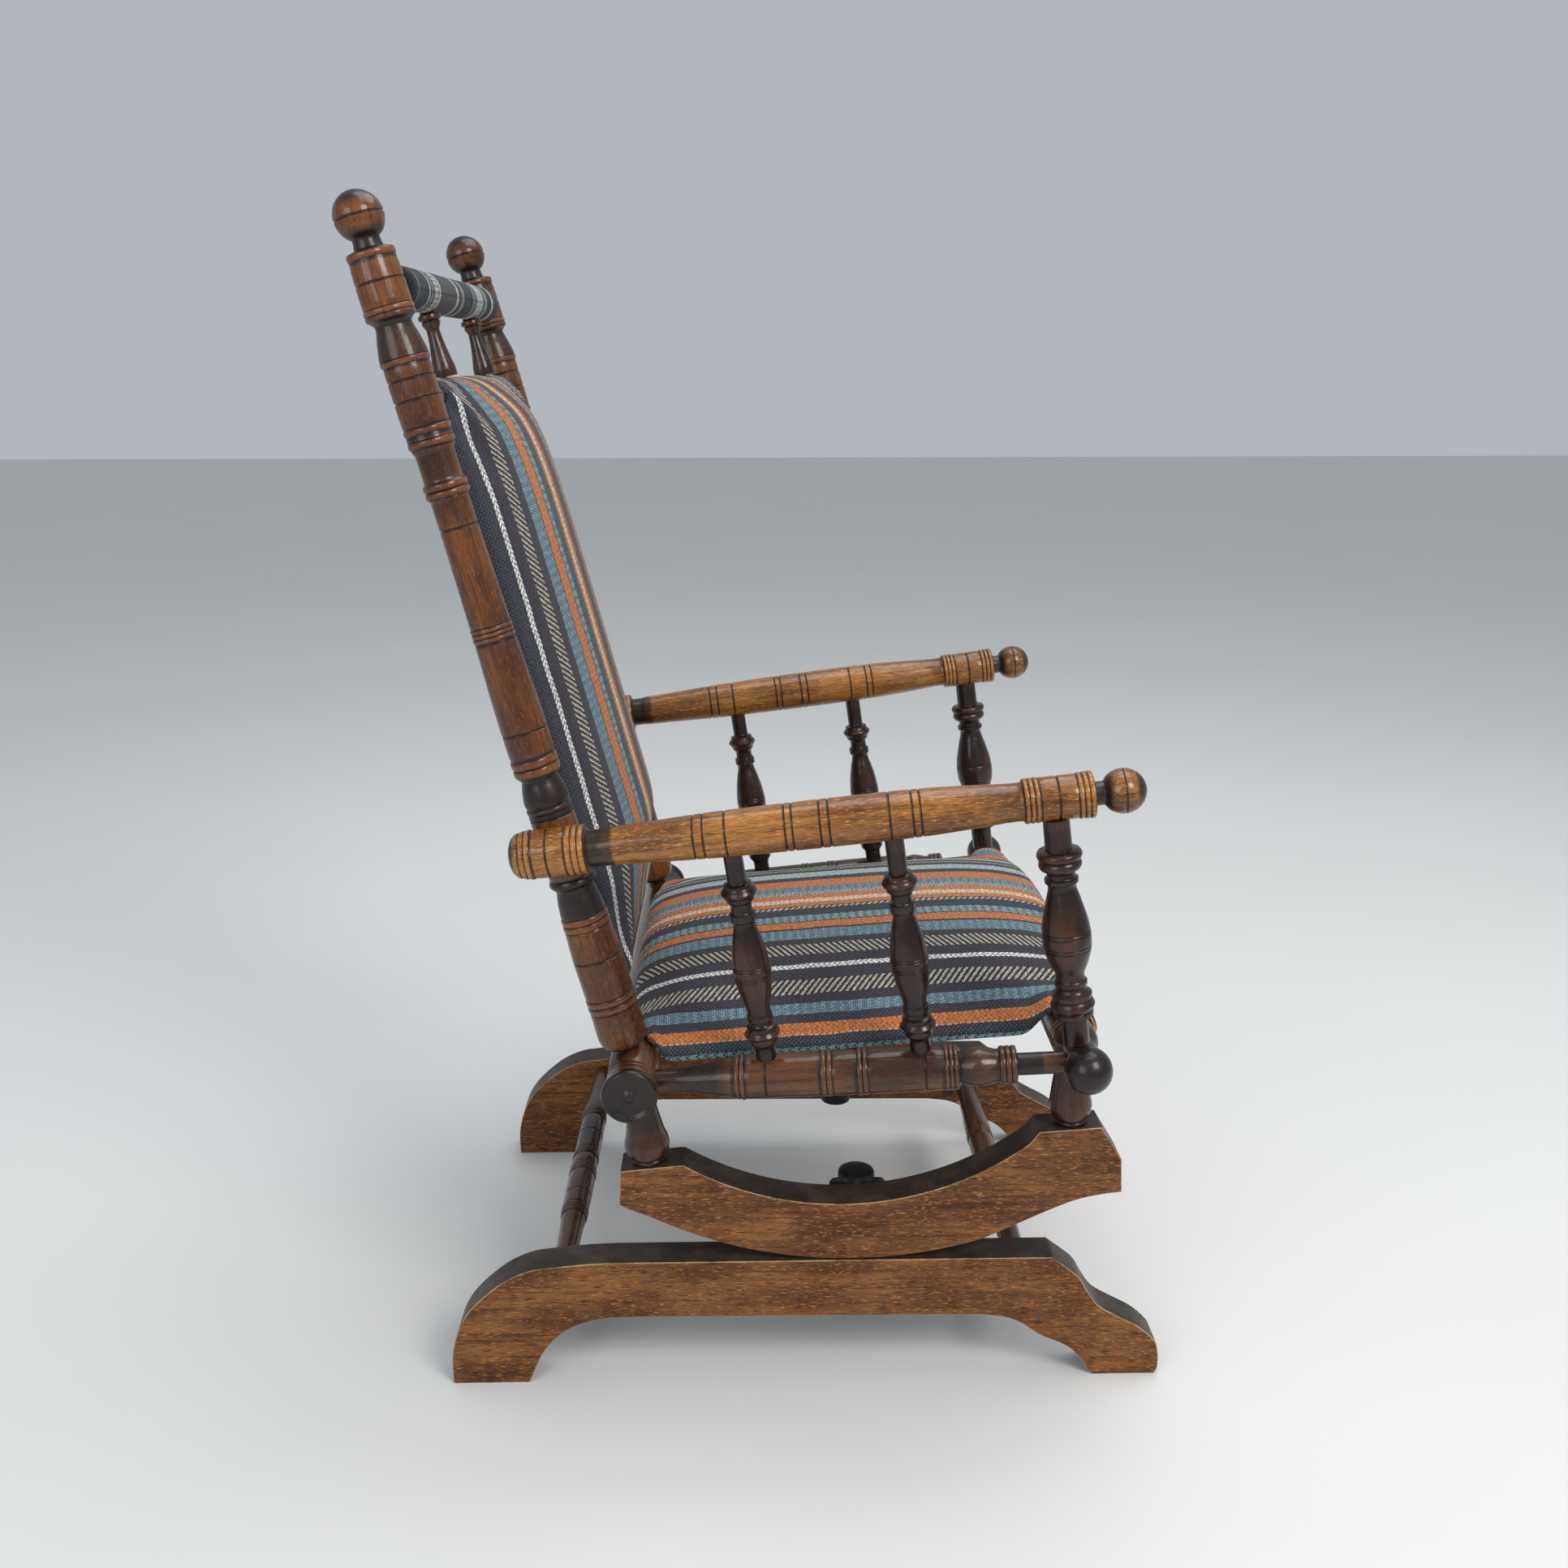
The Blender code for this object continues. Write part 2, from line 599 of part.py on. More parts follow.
def make_arm_screw(word, side, arm, post):
    """A countersunk screw from outside the arm into the post."""
    post_axis = along(POST_TOP, REAR_RAIL, 0.5239)
    head = Vector((side * 0.2728, post_axis.y, post_axis.z))
    tip = Vector((side * 0.2290, post_axis.y, post_axis.z))
    length = (head - tip).length
    profile = [(0, 0), (0, 0.0036), (0.0025, 0.0036), (0.0045, 0.0019), (length, 0.0019), (length, 0)]
    turned(f"arm_screw_{word}", profile, head, tip, "iron", "rocking_frame", None, SCREW_STEPS)
    for host in (arm, post):
        socket(host, head, tip, 0.0045, length + GAP, 0.0019, "rocking_frame", SCREW_STEPS)
    socket(arm, head, tip, -OVERSHOOT, 0.0046, 0.0036, "rocking_frame", SCREW_STEPS)


def make_front_posts(arms, front_rail):
    length = (FRONT_POST_TOP - FRONT_POST_FOOT).length
    top, foot = -0.0120, length - 0.0068
    profile = [
        (top, 0), (top, 0.0100), (0.0040, 0.0100), (0.0040, 0.0115), (0.0160, 0.0115), (0.0180, 0.0185),
        (0.0216, 0.0193), (0.0253, 0.0185), (0.0300, 0.0185), (0.0340, 0.0170), (0.0376, 0.0119), (0.0442, 0.0146),
        (0.0501, 0.0119), (0.0715, 0.0171), (0.0916, 0.0208), (0.0976, 0.0210), (0.1051, 0.0207), (0.1202, 0.0163),
        (0.1316, 0.0122), (0.1384, 0.0143), (0.1438, 0.0125), (0.1484, 0.0174), (0.1584, 0.0192), (0.1683, 0.0175),
        (0.1706, 0.0118), (foot, 0.0118), (foot, 0),
    ]
    for word, side in SIDES:
        first = mirrored(FRONT_POST_TOP, side)
        last = mirrored(FRONT_POST_FOOT, side)
        turned(f"arm_post_front_{word}", profile, first, last, "dark_wood", "rocking_frame")
        socket(arms[word], first, last, top - GAP, 0.0043, 0.0100)
        socket(arms[word], first, last, 0.0040 - GAP, 0.0160, 0.0115)
        socket(front_rail, first, last, 0.1850, foot + GAP, 0.0118)


def make_spindles(arms, side_rails):
    """Four turned spindles between the arms and the side rails. The top tenon is longer on the middle pair."""
    vase = [
        (0.0434, 0.0124), (0.0510, 0.0157), (0.0586, 0.0124), (0.0639, 0.0090), (0.0737, 0.0114), (0.0800, 0.0094),
        (0.1061, 0.0150), (0.1245, 0.0168), (0.1488, 0.0134), (0.1653, 0.0102), (0.1692, 0.0113), (0.1731, 0.0099),
        (0.1779, 0.0130), (0.1850, 0.0160), (0.1946, 0.0130),
    ]
    for place_name, top_point, foot_point, drop in (
        ("rear", REAR_SPINDLE_TOP, REAR_SPINDLE_FOOT, 0.0),
        ("middle", MIDDLE_SPINDLE_TOP, MIDDLE_SPINDLE_FOOT, 0.0065),
    ):
        length = (top_point - foot_point).length
        top, foot = 0.0040, length - 0.0070
        profile = [(top, 0), (top, 0.0082), (0.0430 + drop, 0.0082)]
        profile += [(distance + drop, radius) for distance, radius in vase]
        profile += [(0.1985 + drop, 0.0090), (foot, 0.0090), (foot, 0)]
        for word, side in SIDES:
            first = mirrored(top_point, side)
            last = mirrored(foot_point, side)
            turned(f"arm_spindle_{place_name}_{word}", profile, first, last, "dark_wood", "rocking_frame")
            socket(arms[word], first, last, top - GAP, 0.0340, 0.0082)
            socket(side_rails[word], first, last, 0.2010 + drop, foot + GAP, 0.0090)


# ---------------------------------------------------------------- seat


def web_height(y):
    """The middle of the webbing, which lies on top of the front and rear rails."""
    rear_top = REAR_RAIL.z + REAR_RAIL_R + GAP + WEB_THICK / 2
    front_top = FRONT_RAIL.z + FRONT_RAIL_R + GAP + WEB_THICK / 2
    share = (REAR_RAIL.y - y) / (REAR_RAIL.y - FRONT_RAIL.y)
    return rear_top + (front_top - rear_top) * share


def make_webbing():
    rise = web_height(FRONT_RAIL.y) - web_height(REAR_RAIL.y)
    run = REAR_RAIL.y - FRONT_RAIL.y
    centre_y = (REAR_RAIL.y + FRONT_RAIL.y) / 2
    size = (2 * WEB_HALF_X, math.hypot(run, rise), WEB_THICK)
    web = block("seat_webbing", (0, centre_y, web_height(centre_y)), size, "webbing", "rocking_frame")
    web.rotation_euler.x = -math.atan2(rise, run)


def make_seat_cushion():
    """A crowned cushion on the webbing. Its front lip folds down over the front rail."""
    columns = (0.0, 0.48, 0.82, 1.0)
    rows = (0.0, 0.50, 0.93, 1.0)

    def shape_point(u, v, w):
        across_share = math.copysign(columns[round(abs(u) * 3)], u)
        along_share = math.copysign(rows[round(abs(v) * 3)], v)
        x = SEAT_HALF_X * across_share
        rear_y = SEAT_REAR_Y + SEAT_REAR_BULGE * (1 - across_share**4)
        middle_y = (rear_y + SEAT_FRONT_Y) / 2
        y = middle_y + (rear_y - SEAT_FRONT_Y) / 2 * along_share
        bottom = web_height(y) + WEB_THICK / 2 + GAP
        if abs(across_share) > 0.94:
            bottom -= SEAT_SKIRT
        if along_share < -0.94:
            bottom = SEAT_FRONT_Z
        ends = abs(along_share) ** 6
        drop = SEAT_EDGE_DROP * abs(across_share) ** 2.4 * (1 - 0.5 * ends)
        top = web_height(y) + SEAT_CROWN * (1 - 0.42 * ends) - drop
        return (x, y, bottom + (top - bottom) * (w + 1) / 2)

    cushion = padded_block("seat_cushion", 5, shape_point, "fabric", "rocking_frame")
    end = Vector((SEAT_HALF_X + OVERSHOOT, 0, 0))
    for rail, radius in ((FRONT_RAIL, FRONT_RAIL_R), (REAR_RAIL, REAR_RAIL_R)):
        socket(cushion, rail - end, rail + end, 0, 2 * end.x, radius + GAP)


# ---------------------------------------------------------------- springs


def make_bracket(name, side, host, host_face_x, cup_z, opening, group):
    """An iron cup on a plate that two screws hold to the wood. opening is +1 for a cup that opens upwards."""
    plate_thick = host_face_x - GAP - LUG_INNER_X
    plate_x = side * (LUG_INNER_X + plate_thick / 2)
    bracket = block(name, (plate_x, SPRING_Y, cup_z), (plate_thick, LUG_LENGTH, LUG_HEIGHT), "iron", group)
    low = Vector((side * SPRING_X, SPRING_Y, cup_z - CUP_HEIGHT / 2))
    high = low + Vector((0, 0, CUP_HEIGHT))
    ring = [(0, 0), (0, CUP_R), (CUP_HEIGHT, CUP_R), (CUP_HEIGHT, 0)]
    cup = turned("join_" + name, ring, high, low, None, group, cutters, CUP_STEPS)
    hide_cutter(cup)
    cut(bracket, cup, "UNION")
    first, last = (high, low) if opening > 0 else (low, high)
    socket(bracket, first, last, -OVERSHOOT, CUP_HEIGHT - CUP_FLOOR, CUP_BORE - GAP, group, CUP_STEPS)
    for end_name, end in (("rear", 1), ("front", -1)):
        head = Vector((side * (LUG_INNER_X - 0.0022), SPRING_Y + end * SCREW_SPREAD, cup_z))
        tip = head + Vector((side * (SCREW_LENGTH + 0.0022), 0, 0))
        profile = [
            (0, 0), (0, SCREW_HEAD_R - 0.001), (0.0010, SCREW_HEAD_R), (0.0022 - GAP, SCREW_HEAD_R),
            (0.0022 - GAP, SCREW_R), (SCREW_LENGTH, SCREW_R), (SCREW_LENGTH, 0),
        ]
        turned(f"{name}_screw_{end_name}", profile, head, tip, "iron", group, None, SCREW_STEPS)
        for wood in (bracket, host):
            socket(wood, head, tip, 0.0022 - OVERSHOOT / 2, SCREW_LENGTH + GAP, SCREW_R, group, SCREW_STEPS)


def make_springs():
    start = LOWER_CUP_BASE + CUP_FLOOR + WIRE_R + GAP
    end = UPPER_CUP_TOP - CUP_FLOOR - WIRE_R - GAP
    count = COIL_TURNS * POINTS_PER_TURN
    for word, side in SIDES:
        wire = bpy.data.curves.new(f"coil_spring_{word}", "CURVE")
        wire.dimensions = "3D"
        wire.bevel_depth = WIRE_R
        wire.bevel_resolution = 1
        wire.use_fill_caps = True
        spline = wire.splines.new("POLY")
        spline.points.add(count)
        for i, point in enumerate(spline.points):
            turn = i / POINTS_PER_TURN * math.tau
            x = side * (SPRING_X + COIL_R * math.cos(turn))
            y = SPRING_Y + COIL_R * math.sin(turn)
            z = start + (end - start) * i / count
            point.co = (*(Vector((x, y, z)) - groups["springs"].location), 1)
        wire.materials.append(materials["iron"])
        spring = bpy.data.objects.new(f"coil_spring_{word}", wire)
        parts.objects.link(spring)
        spring.parent = groups["springs"]


# ---------------------------------------------------------------- assembly


def main():
    global parts, cutters
    clear_scene()
    parts = bpy.data.collections.new("rocking_chair")
    cutters = bpy.data.collections.new("cutters")
    bpy.context.scene.collection.children.link(parts)
    bpy.context.scene.collection.children.link(cutters)
    make_material("base_wood", (0.115, 0.052, 0.022), 0.42)
    make_material("post_wood", (0.110, 0.040, 0.018), 0.36)
    make_material("arm_wood", (0.230, 0.115, 0.040), 0.34)
    make_material("rail_wood", (0.065, 0.026, 0.013), 0.36)
    make_material("dark_wood", (0.030, 0.012, 0.008), 0.34)
    make_material("iron", (0.030, 0.030, 0.032), 0.50, 0.8)
    make_material("webbing", (0.300, 0.230, 0.150), 0.90)
    make_material("fabric", (0.090, 0.095, 0.110), 0.90)

    add_group("chair", (0, -ORIGIN_Y, 0))
    chair = groups["chair"]
    add_group("base", (0, 0, 0), chair)
    add_group("rolling_link", (0, ROLL_Y, ROLL_CENTRE_Z), chair)
    add_group("rocking_frame", (0, ROLL_Y, ROLL_BOTTOM + ROLL_R / 2), chair)
    add_group("springs", (0, ROLL_Y, ROLL_BOTTOM), chair)
    bpy.context.view_layer.update()

    base_sides = make_base()
    rockers = make_rockers()
    rear_rail = make_rear_rail()
    front_rail = make_front_rail()
    make_legs(rockers, rear_rail, front_rail)
    side_rails = make_side_rails(rear_rail, front_rail)
    make_cross_rail()
    posts = make_back_posts(rear_rail)
    core, cover = make_head_roll(posts)
    top_rail = between_posts(
        "back_panel_top_rail", PANEL_TOP_RAIL, PANEL_RAIL_R, PANEL_RAIL_HALF, 0.0080, posts, "dark_wood"
    )
    between_posts(
        "back_panel_bottom_rail", PANEL_BOTTOM_RAIL, PANEL_RAIL_R, PANEL_RAIL_HALF, 0.0080, posts, "dark_wood"
    )
    pad = make_back_pad()
    make_crest_spindles(core, cover, top_rail, pad)
    arms = make_arms(posts)
    make_front_posts(arms, front_rail)
    make_spindles(arms, side_rails)
    make_webbing()
    make_seat_cushion()
    lower_z = LOWER_CUP_BASE + CUP_HEIGHT / 2
    upper_z = UPPER_CUP_TOP - CUP_HEIGHT / 2
    for word, side in SIDES:
        lower = f"spring_bracket_lower_{word}"
        upper = f"spring_bracket_upper_{word}"
        make_bracket(lower, side, base_sides[word], BASE_INNER_X, lower_z, 1, "base")
        make_bracket(upper, side, rockers[word], ROCKER_INNER_X, upper_z, -1, "rocking_frame")
    make_springs()


main()
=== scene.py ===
"""The visual model of a platform rocking chair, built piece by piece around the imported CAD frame.

Metres, +Z up. The chair faces -Y, and +X is the sitter's left. Lengths along a turned piece are measured
from its first end. The points that place the pieces repeat those of the CAD part.
"""

import math

import bmesh
import bpy
from mathutils import Matrix, Vector


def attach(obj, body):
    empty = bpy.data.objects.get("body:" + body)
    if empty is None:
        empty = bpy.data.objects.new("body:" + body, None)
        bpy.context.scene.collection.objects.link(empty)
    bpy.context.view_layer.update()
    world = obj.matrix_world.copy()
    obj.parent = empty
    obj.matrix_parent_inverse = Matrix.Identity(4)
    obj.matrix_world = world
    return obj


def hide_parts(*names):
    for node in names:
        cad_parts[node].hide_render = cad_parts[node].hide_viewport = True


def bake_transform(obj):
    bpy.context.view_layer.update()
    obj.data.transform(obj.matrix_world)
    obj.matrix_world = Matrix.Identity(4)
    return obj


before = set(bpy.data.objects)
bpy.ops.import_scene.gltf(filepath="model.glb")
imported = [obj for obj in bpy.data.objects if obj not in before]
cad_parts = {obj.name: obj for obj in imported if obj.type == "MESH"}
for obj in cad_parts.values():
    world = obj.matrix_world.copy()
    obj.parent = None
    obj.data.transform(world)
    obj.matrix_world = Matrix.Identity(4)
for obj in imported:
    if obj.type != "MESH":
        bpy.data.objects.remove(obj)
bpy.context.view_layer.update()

# Every y below is measured from the middle of the base, which lies this far in front of the row frame's zero.
ORIGIN_Y = 0.0137
SIDES = (("right", -1), ("left", 1))

BASE_TOP = 0.1282
BASE_OUTER_X = 0.2337
BASE_THICK = 0.0353
BASE_INNER_X = BASE_OUTER_X - BASE_THICK
ROLL_R = 0.400
ROLL_Y = -0.0427
ROLL_BOTTOM = BASE_TOP + 0.0003
ROLL_CENTRE_Z = ROLL_BOTTOM + ROLL_R
ROCKER_OUTER_X = 0.2317
ROCKER_THICK = 0.0360
ROCKER_INNER_X = ROCKER_OUTER_X - ROCKER_THICK
LEG_X = 0.2140
STRETCHER_Z = 0.1050
SPRING_X = 0.1760
SPRING_Y = -0.0500
REAR_RAIL_R = 0.0225
FRONT_RAIL_R = 0.0205
STRAP_RISE = 0.0015


def spot(x, y, z):
    return Vector((x, y - ORIGIN_Y, z))


REAR_RAIL = spot(0, 0.1555, 0.3224)
FRONT_RAIL = spot(0, -0.2385, 0.3525)
POST_X = 0.2245
POST_TOP = spot(0, 0.3464, 1.0435)
HEAD_ROLL = spot(0, 0.3270, 0.9930)
PANEL_TOP_RAIL = spot(0, 0.3073, 0.9072)
PANEL_BOTTOM_RAIL = spot(0, 0.1730, 0.3930)


# ---------------------------------------------------------------- shader helpers


class Graph:
    """A material's node tree, with short calls that return the socket they make."""

    def __init__(self, name):
        self.material = bpy.data.materials.new(name)
        self.material.use_nodes = True
        self.tree = self.material.node_tree
        self.shader = self.tree.nodes["Principled BSDF"]

    def put(self, socket, value):
        if isinstance(value, bpy.types.NodeSocket):
            self.tree.links.new(value, socket)
        elif isinstance(value, tuple) and len(value) == 3 and socket.type == "RGBA":
            socket.default_value = (*value, 1.0)
        else:
            socket.default_value = value

    def node(self, kind, inputs=None, **settings):
        made = self.tree.nodes.new("ShaderNode" + kind)
        for key, value in settings.items():
            setattr(made, key, value)
        for key, value in (inputs or {}).items():
            self.put(made.inputs[key], value)
        return made

    def maths(self, operation, first, second=0.0, third=0.0):
        return self.node("Math", {0: first, 1: second, 2: third}, operation=operation).outputs[0]

    def times(self, first, second):
        return self.maths("MULTIPLY", first, second)

    def plus(self, first, second):
        return self.maths("ADD", first, second)

    def minus(self, first, second):
        return self.maths("SUBTRACT", first, second)

    def divided(self, first, second):
        return self.maths("DIVIDE", first, second)

    def absolute(self, value):
        return self.maths("ABSOLUTE", value)

    def attribute(self, name):
        return self.node("Attribute", attribute_name=name).outputs["Fac"]

    def mix(self, share, first, second):
        made = self.node("Mix", data_type="RGBA")
        self.put(made.inputs[0], share)
        self.put(made.inputs[6], first)
        self.put(made.inputs[7], second)
        return made.outputs[2]

    def blend(self, share, first, second):
        made = self.node("Mix", data_type="FLOAT")
        for index, value in ((0, share), (2, first), (3, second)):
            self.put(made.inputs[index], value)
        return made.outputs[0]

    def between(self, value, low, high, start=0.0, end=1.0):
        """Maps low..high to start..end, with an eased middle, and holds the ends."""
        inputs = {"Value": value, "From Min": low, "From Max": high, "To Min": start, "To Max": end}
        return self.node("MapRange", inputs, interpolation_type="SMOOTHSTEP").outputs[0]

    def noise(self, vector, scale, detail=3.0, roughness=0.5):
        """Noise whose scale is one number for each axis."""
        stretched = self.node("VectorMath", {0: vector, 1: scale}, operation="MULTIPLY").outputs[0]
        inputs = {"Vector": stretched, "Scale": 1.0, "Detail": detail, "Roughness": roughness}
        return self.node("TexNoise", inputs).outputs[0]

    def bump(self, height, distance, strength=1.0):
        bump = self.node("Bump", {"Height": height, "Distance": distance, "Strength": strength})
        self.put(self.shader.inputs["Normal"], bump.outputs[0])

    def finish(self, colour, roughness, **numbers):
        self.put(self.shader.inputs["Base Color"], colour)
        self.put(self.shader.inputs["Roughness"], roughness)
        for key, value in numbers.items():
            self.shader.inputs[key.replace("_", " ")].default_value = value
        return self.material


def brighter(colour, factor):
    return tuple(min(1, c * factor) for c in colour)


def grained(axis, across, along):
    """Noise scales for grain that runs along one axis."""
    return tuple(along if i == axis else across for i in range(3))


def wood_colour(graph, vector, axis, light, mid, deep, flecks):
    """The stained colour of grained wood, and the height of its pores."""
    blotch = graph.noise(vector, grained(axis, 26, 9), 3, 0.55)
    streak = graph.noise(vector, grained(axis, 260, 9), 4, 0.6)
    pores = graph.noise(vector, grained(axis, 950, 75), 2, 0.5)
    glints = graph.noise(vector, grained(axis, 900, 170), 2, 0.5)
    colour = graph.mix(graph.between(blotch, 0.36, 0.66), mid, light)
    colour = graph.mix(graph.between(streak, 0.42, 0.75, 0.0, 0.75), colour, deep)
    colour = graph.mix(graph.between(glints, 0.56, 0.70, 0.0, flecks), colour, brighter(light, 1.9))
    dark_pores = graph.between(pores, 0.54, 0.66)
    colour = graph.mix(graph.times(dark_pores, 0.65 * flecks + 0.25), colour, deep)
    return colour, dark_pores, streak


def turned_wood(name, light, mid, deep, groove, flecks, roughness, coat):
    """Polished wood turned along its own Z. Where the shade attribute says, it is nearly black: painted shade
    in grooves, coves and narrow places, and the real black of the rail ends. Below zero the attribute makes
    bead crests lighter: wear and painted highlight.
    """
    graph = Graph(name)
    place = graph.node("TexCoord").outputs["Object"]
    seed = graph.attribute("seed")
    shift = graph.node("CombineXYZ", {0: seed, 1: graph.times(seed, 1.7), 2: seed}).outputs[0]
    vector = graph.node("VectorMath", {0: place, 1: shift}, operation="ADD").outputs[0]
    colour, pores, streak = wood_colour(graph, vector, 2, light, mid, deep, flecks)
    shade = graph.attribute("shade")
    # Bead crests lighter where the shade attribute is below zero: wear and painted highlight.
    crest_wear_and_highlight = graph.between(shade, 0.0, -0.30, 0.0, 0.40)
    colour = graph.mix(crest_wear_and_highlight, colour, brighter(light, 1.5))
    patches = graph.noise(vector, (45, 45, 45), 3, 0.6)
    # Painted shade: the shade attribute, broken up by patches, darkens towards the groove colour; on the rail
    # ends it is their real black.
    edge = graph.plus(shade, graph.times(graph.minus(patches, 0.5), 0.45))
    colour = graph.mix(graph.between(edge, 0.05, 0.75, 0.0, 0.93), colour, groove)
    rough = graph.plus(graph.between(streak, 0.3, 0.8, roughness - 0.05, roughness + 0.10),
                        graph.between(shade, 0.2, 0.9, 0.0, 0.12))
    height = graph.plus(graph.times(pores, -0.6), graph.times(streak, 0.4))
    graph.bump(height, 0.00025, 0.5)
    return graph.finish(colour, rough, Coat_Weight=coat, Coat_Roughness=0.10, Specular_IOR_Level=0.32)


def board_wood(name, light, mid, deep, rim, edge_colour):
    """Sawn board, grained along Y, greyed and darkened on its edges and rubbed pale along its arrises."""
    graph = Graph(name)
    coords = graph.node("TexCoord")
    place = coords.outputs["Object"]
    colour, pores, streak = wood_colour(graph, place, 1, light, mid, deep, 0.85)
    facing = graph.node("SeparateXYZ", {0: coords.outputs["Normal"]}).outputs[0]
    facing = graph.absolute(facing)
    rubbed = graph.noise(place, (30, 30, 30), 4, 0.65)
    grime = graph.mix(graph.between(rubbed, 0.35, 0.7), rim, brighter(rim, 2.6))
    colour = graph.mix(graph.between(facing, 0.42, 0.18), colour, grime)
    line = graph.times(graph.between(facing, 0.28, 0.55), graph.between(facing, 0.95, 0.75))
    line = graph.times(line, graph.between(rubbed, 0.36, 0.56, 0.2, 0.95))
    colour = graph.mix(line, colour, edge_colour)
    rough = graph.between(streak, 0.3, 0.8, 0.36, 0.52)
    graph.bump(graph.times(pores, -1.0), 0.0003, 0.5)
    return graph.finish(colour, rough, Specular_IOR_Level=0.3)


def iron_material():
    graph = Graph("blackened_iron")
    place = graph.node("TexCoord").outputs["Object"]
    blotch = graph.noise(place, (180, 180, 180), 5, 0.65)
    colour = graph.mix(graph.between(blotch, 0.45, 0.75), (0.020, 0.021, 0.024), (0.075, 0.055, 0.042))
    graph.bump(blotch, 0.0004, 0.6)
    return graph.finish(colour, graph.between(blotch, 0.3, 0.7, 0.36, 0.62), Metallic=0.75)


def webbing_material():
    graph = Graph("jute_webbing")
    place = graph.node("TexCoord").outputs["Object"]
    split = graph.node("SeparateXYZ", {0: place})
    threads = [graph.maths("SINE", graph.times(split.outputs[i], 2600.0)) for i in (0, 1)]
    weave = graph.times(threads[0], threads[1])
    dust = graph.noise(place, (90, 90, 90), 4, 0.6)
    colour = graph.mix(graph.between(dust, 0.3, 0.7), (0.20, 0.135, 0.075), (0.33, 0.245, 0.150))
    # Painted shade between the threads: darker where the weave is low.
    colour = graph.mix(graph.between(weave, -0.6, 0.8, 0.35, 0.0), colour, (0.07, 0.045, 0.025))
    graph.bump(weave, 0.0005, 0.7)
    return graph.finish(colour, 0.92)


# ---------------------------------------------------------------- striped cloth

CHARCOAL = (0.028, 0.030, 0.040)
NAVY = (0.066, 0.078, 0.102)
SLATE = (0.085, 0.105, 0.130)
PURPLE = (0.072, 0.056, 0.080)
TAUPE = (0.150, 0.125, 0.115)
BROWN = (0.090, 0.070, 0.068)
CREAM = (0.720, 0.640, 0.510)
WHITE = (0.780, 0.790, 0.750)
ORANGE = (0.640, 0.190, 0.040)
PEACH = (0.780, 0.400, 0.200)
BLUE = (0.165, 0.270, 0.340)
AQUA = (0.270, 0.450, 0.470)
TEAL = (0.110, 0.190, 0.215)

# How a stripe is woven: plain, twill leaning either way, braided chevrons, or plain with dots.
PLAIN, TWILL, TWILL_BACK, BRAID, DOTS = 0.0, 0.25, 0.5, 0.75, 1.0
YARN = 0.0021

# Each stripe: width in millimetres, its main colour, its second colour and how it is woven.
SEAT_STRIPES = [
    (40, CHARCOAL, NAVY, PLAIN), (4.5, AQUA, NAVY, DOTS), (10.5, CHARCOAL, SLATE, PLAIN),
    (1.7, CREAM, ORANGE, TWILL), (12.4, ORANGE, PEACH, BRAID), (11, CHARCOAL, NAVY, PLAIN),
    (12, BLUE, AQUA, DOTS), (11, CHARCOAL, PURPLE, PLAIN), (18, CREAM, CHARCOAL, TWILL),
    (15, CHARCOAL, PURPLE, PLAIN), (6.5, WHITE, SLATE, BRAID), (14, PURPLE, CHARCOAL, PLAIN),
    (16, CREAM, CHARCOAL, TWILL_BACK), (9.4, BROWN, CHARCOAL, PLAIN), (16.6, BLUE, AQUA, DOTS),
    (3, CHARCOAL, BROWN, PLAIN), (12.2, ORANGE, PEACH, BRAID), (3, CHARCOAL, BROWN, PLAIN),
    (11.6, AQUA, SLATE, DOTS), (14.5, CHARCOAL, NAVY, PLAIN), (5.5, WHITE, BROWN, TWILL),
    (2, CHARCOAL, BROWN, PLAIN), (9, ORANGE, PEACH, BRAID), (9, CREAM, PEACH, BRAID),
    (10.5, ORANGE, PEACH, BRAID), (10, CHARCOAL, WHITE, PLAIN), (16, BLUE, AQUA, DOTS),
    (24, ORANGE, PEACH, BRAID), (15, CHARCOAL, NAVY, PLAIN), (25, WHITE, AQUA, TWILL),
    (14, PURPLE, CHARCOAL, PLAIN), (8, CREAM, CHARCOAL, TWILL_BACK),
]
BACK_STRIPES = [
    (28, CHARCOAL, SLATE, PLAIN), (4, CREAM, CHARCOAL, TWILL), (23.3, CHARCOAL, NAVY, PLAIN),
    (6.2, WHITE, SLATE, BRAID), (16, PURPLE, CHARCOAL, PLAIN), (20.4, CREAM, CHARCOAL, TWILL),
    (15.3, CHARCOAL, PURPLE, PLAIN), (22.7, BLUE, AQUA, DOTS), (2.2, CHARCOAL, BROWN, PLAIN),
    (20, ORANGE, PEACH, BRAID), (2.6, CHARCOAL, BROWN, PLAIN), (12, AQUA, SLATE, DOTS),
    (18.5, CHARCOAL, TEAL, PLAIN), (9, ORANGE, PEACH, BRAID), (9, CREAM, PEACH, BRAID),
    (12, ORANGE, PEACH, BRAID), (16, TAUPE, BROWN, TWILL), (14, BROWN, TAUPE, PLAIN),
    (16, BLUE, AQUA, DOTS), (20, ORANGE, PEACH, BRAID), (13, CHARCOAL, NAVY, PLAIN),
    (18, WHITE, AQUA, TWILL), (13, CHARCOAL, PURPLE, PLAIN), (17, CREAM, CHARCOAL, TWILL_BACK),
    (12, PURPLE, CHARCOAL, PLAIN), (6, WHITE, SLATE, BRAID), (14, CHARCOAL, PURPLE, PLAIN),
    (16, CREAM, CHARCOAL, TWILL), (12, CHARCOAL, NAVY, PLAIN), (12, BLUE, AQUA, DOTS),
    (13, ORANGE, PEACH, BRAID), (60, CHARCOAL, SLATE, PLAIN),
]
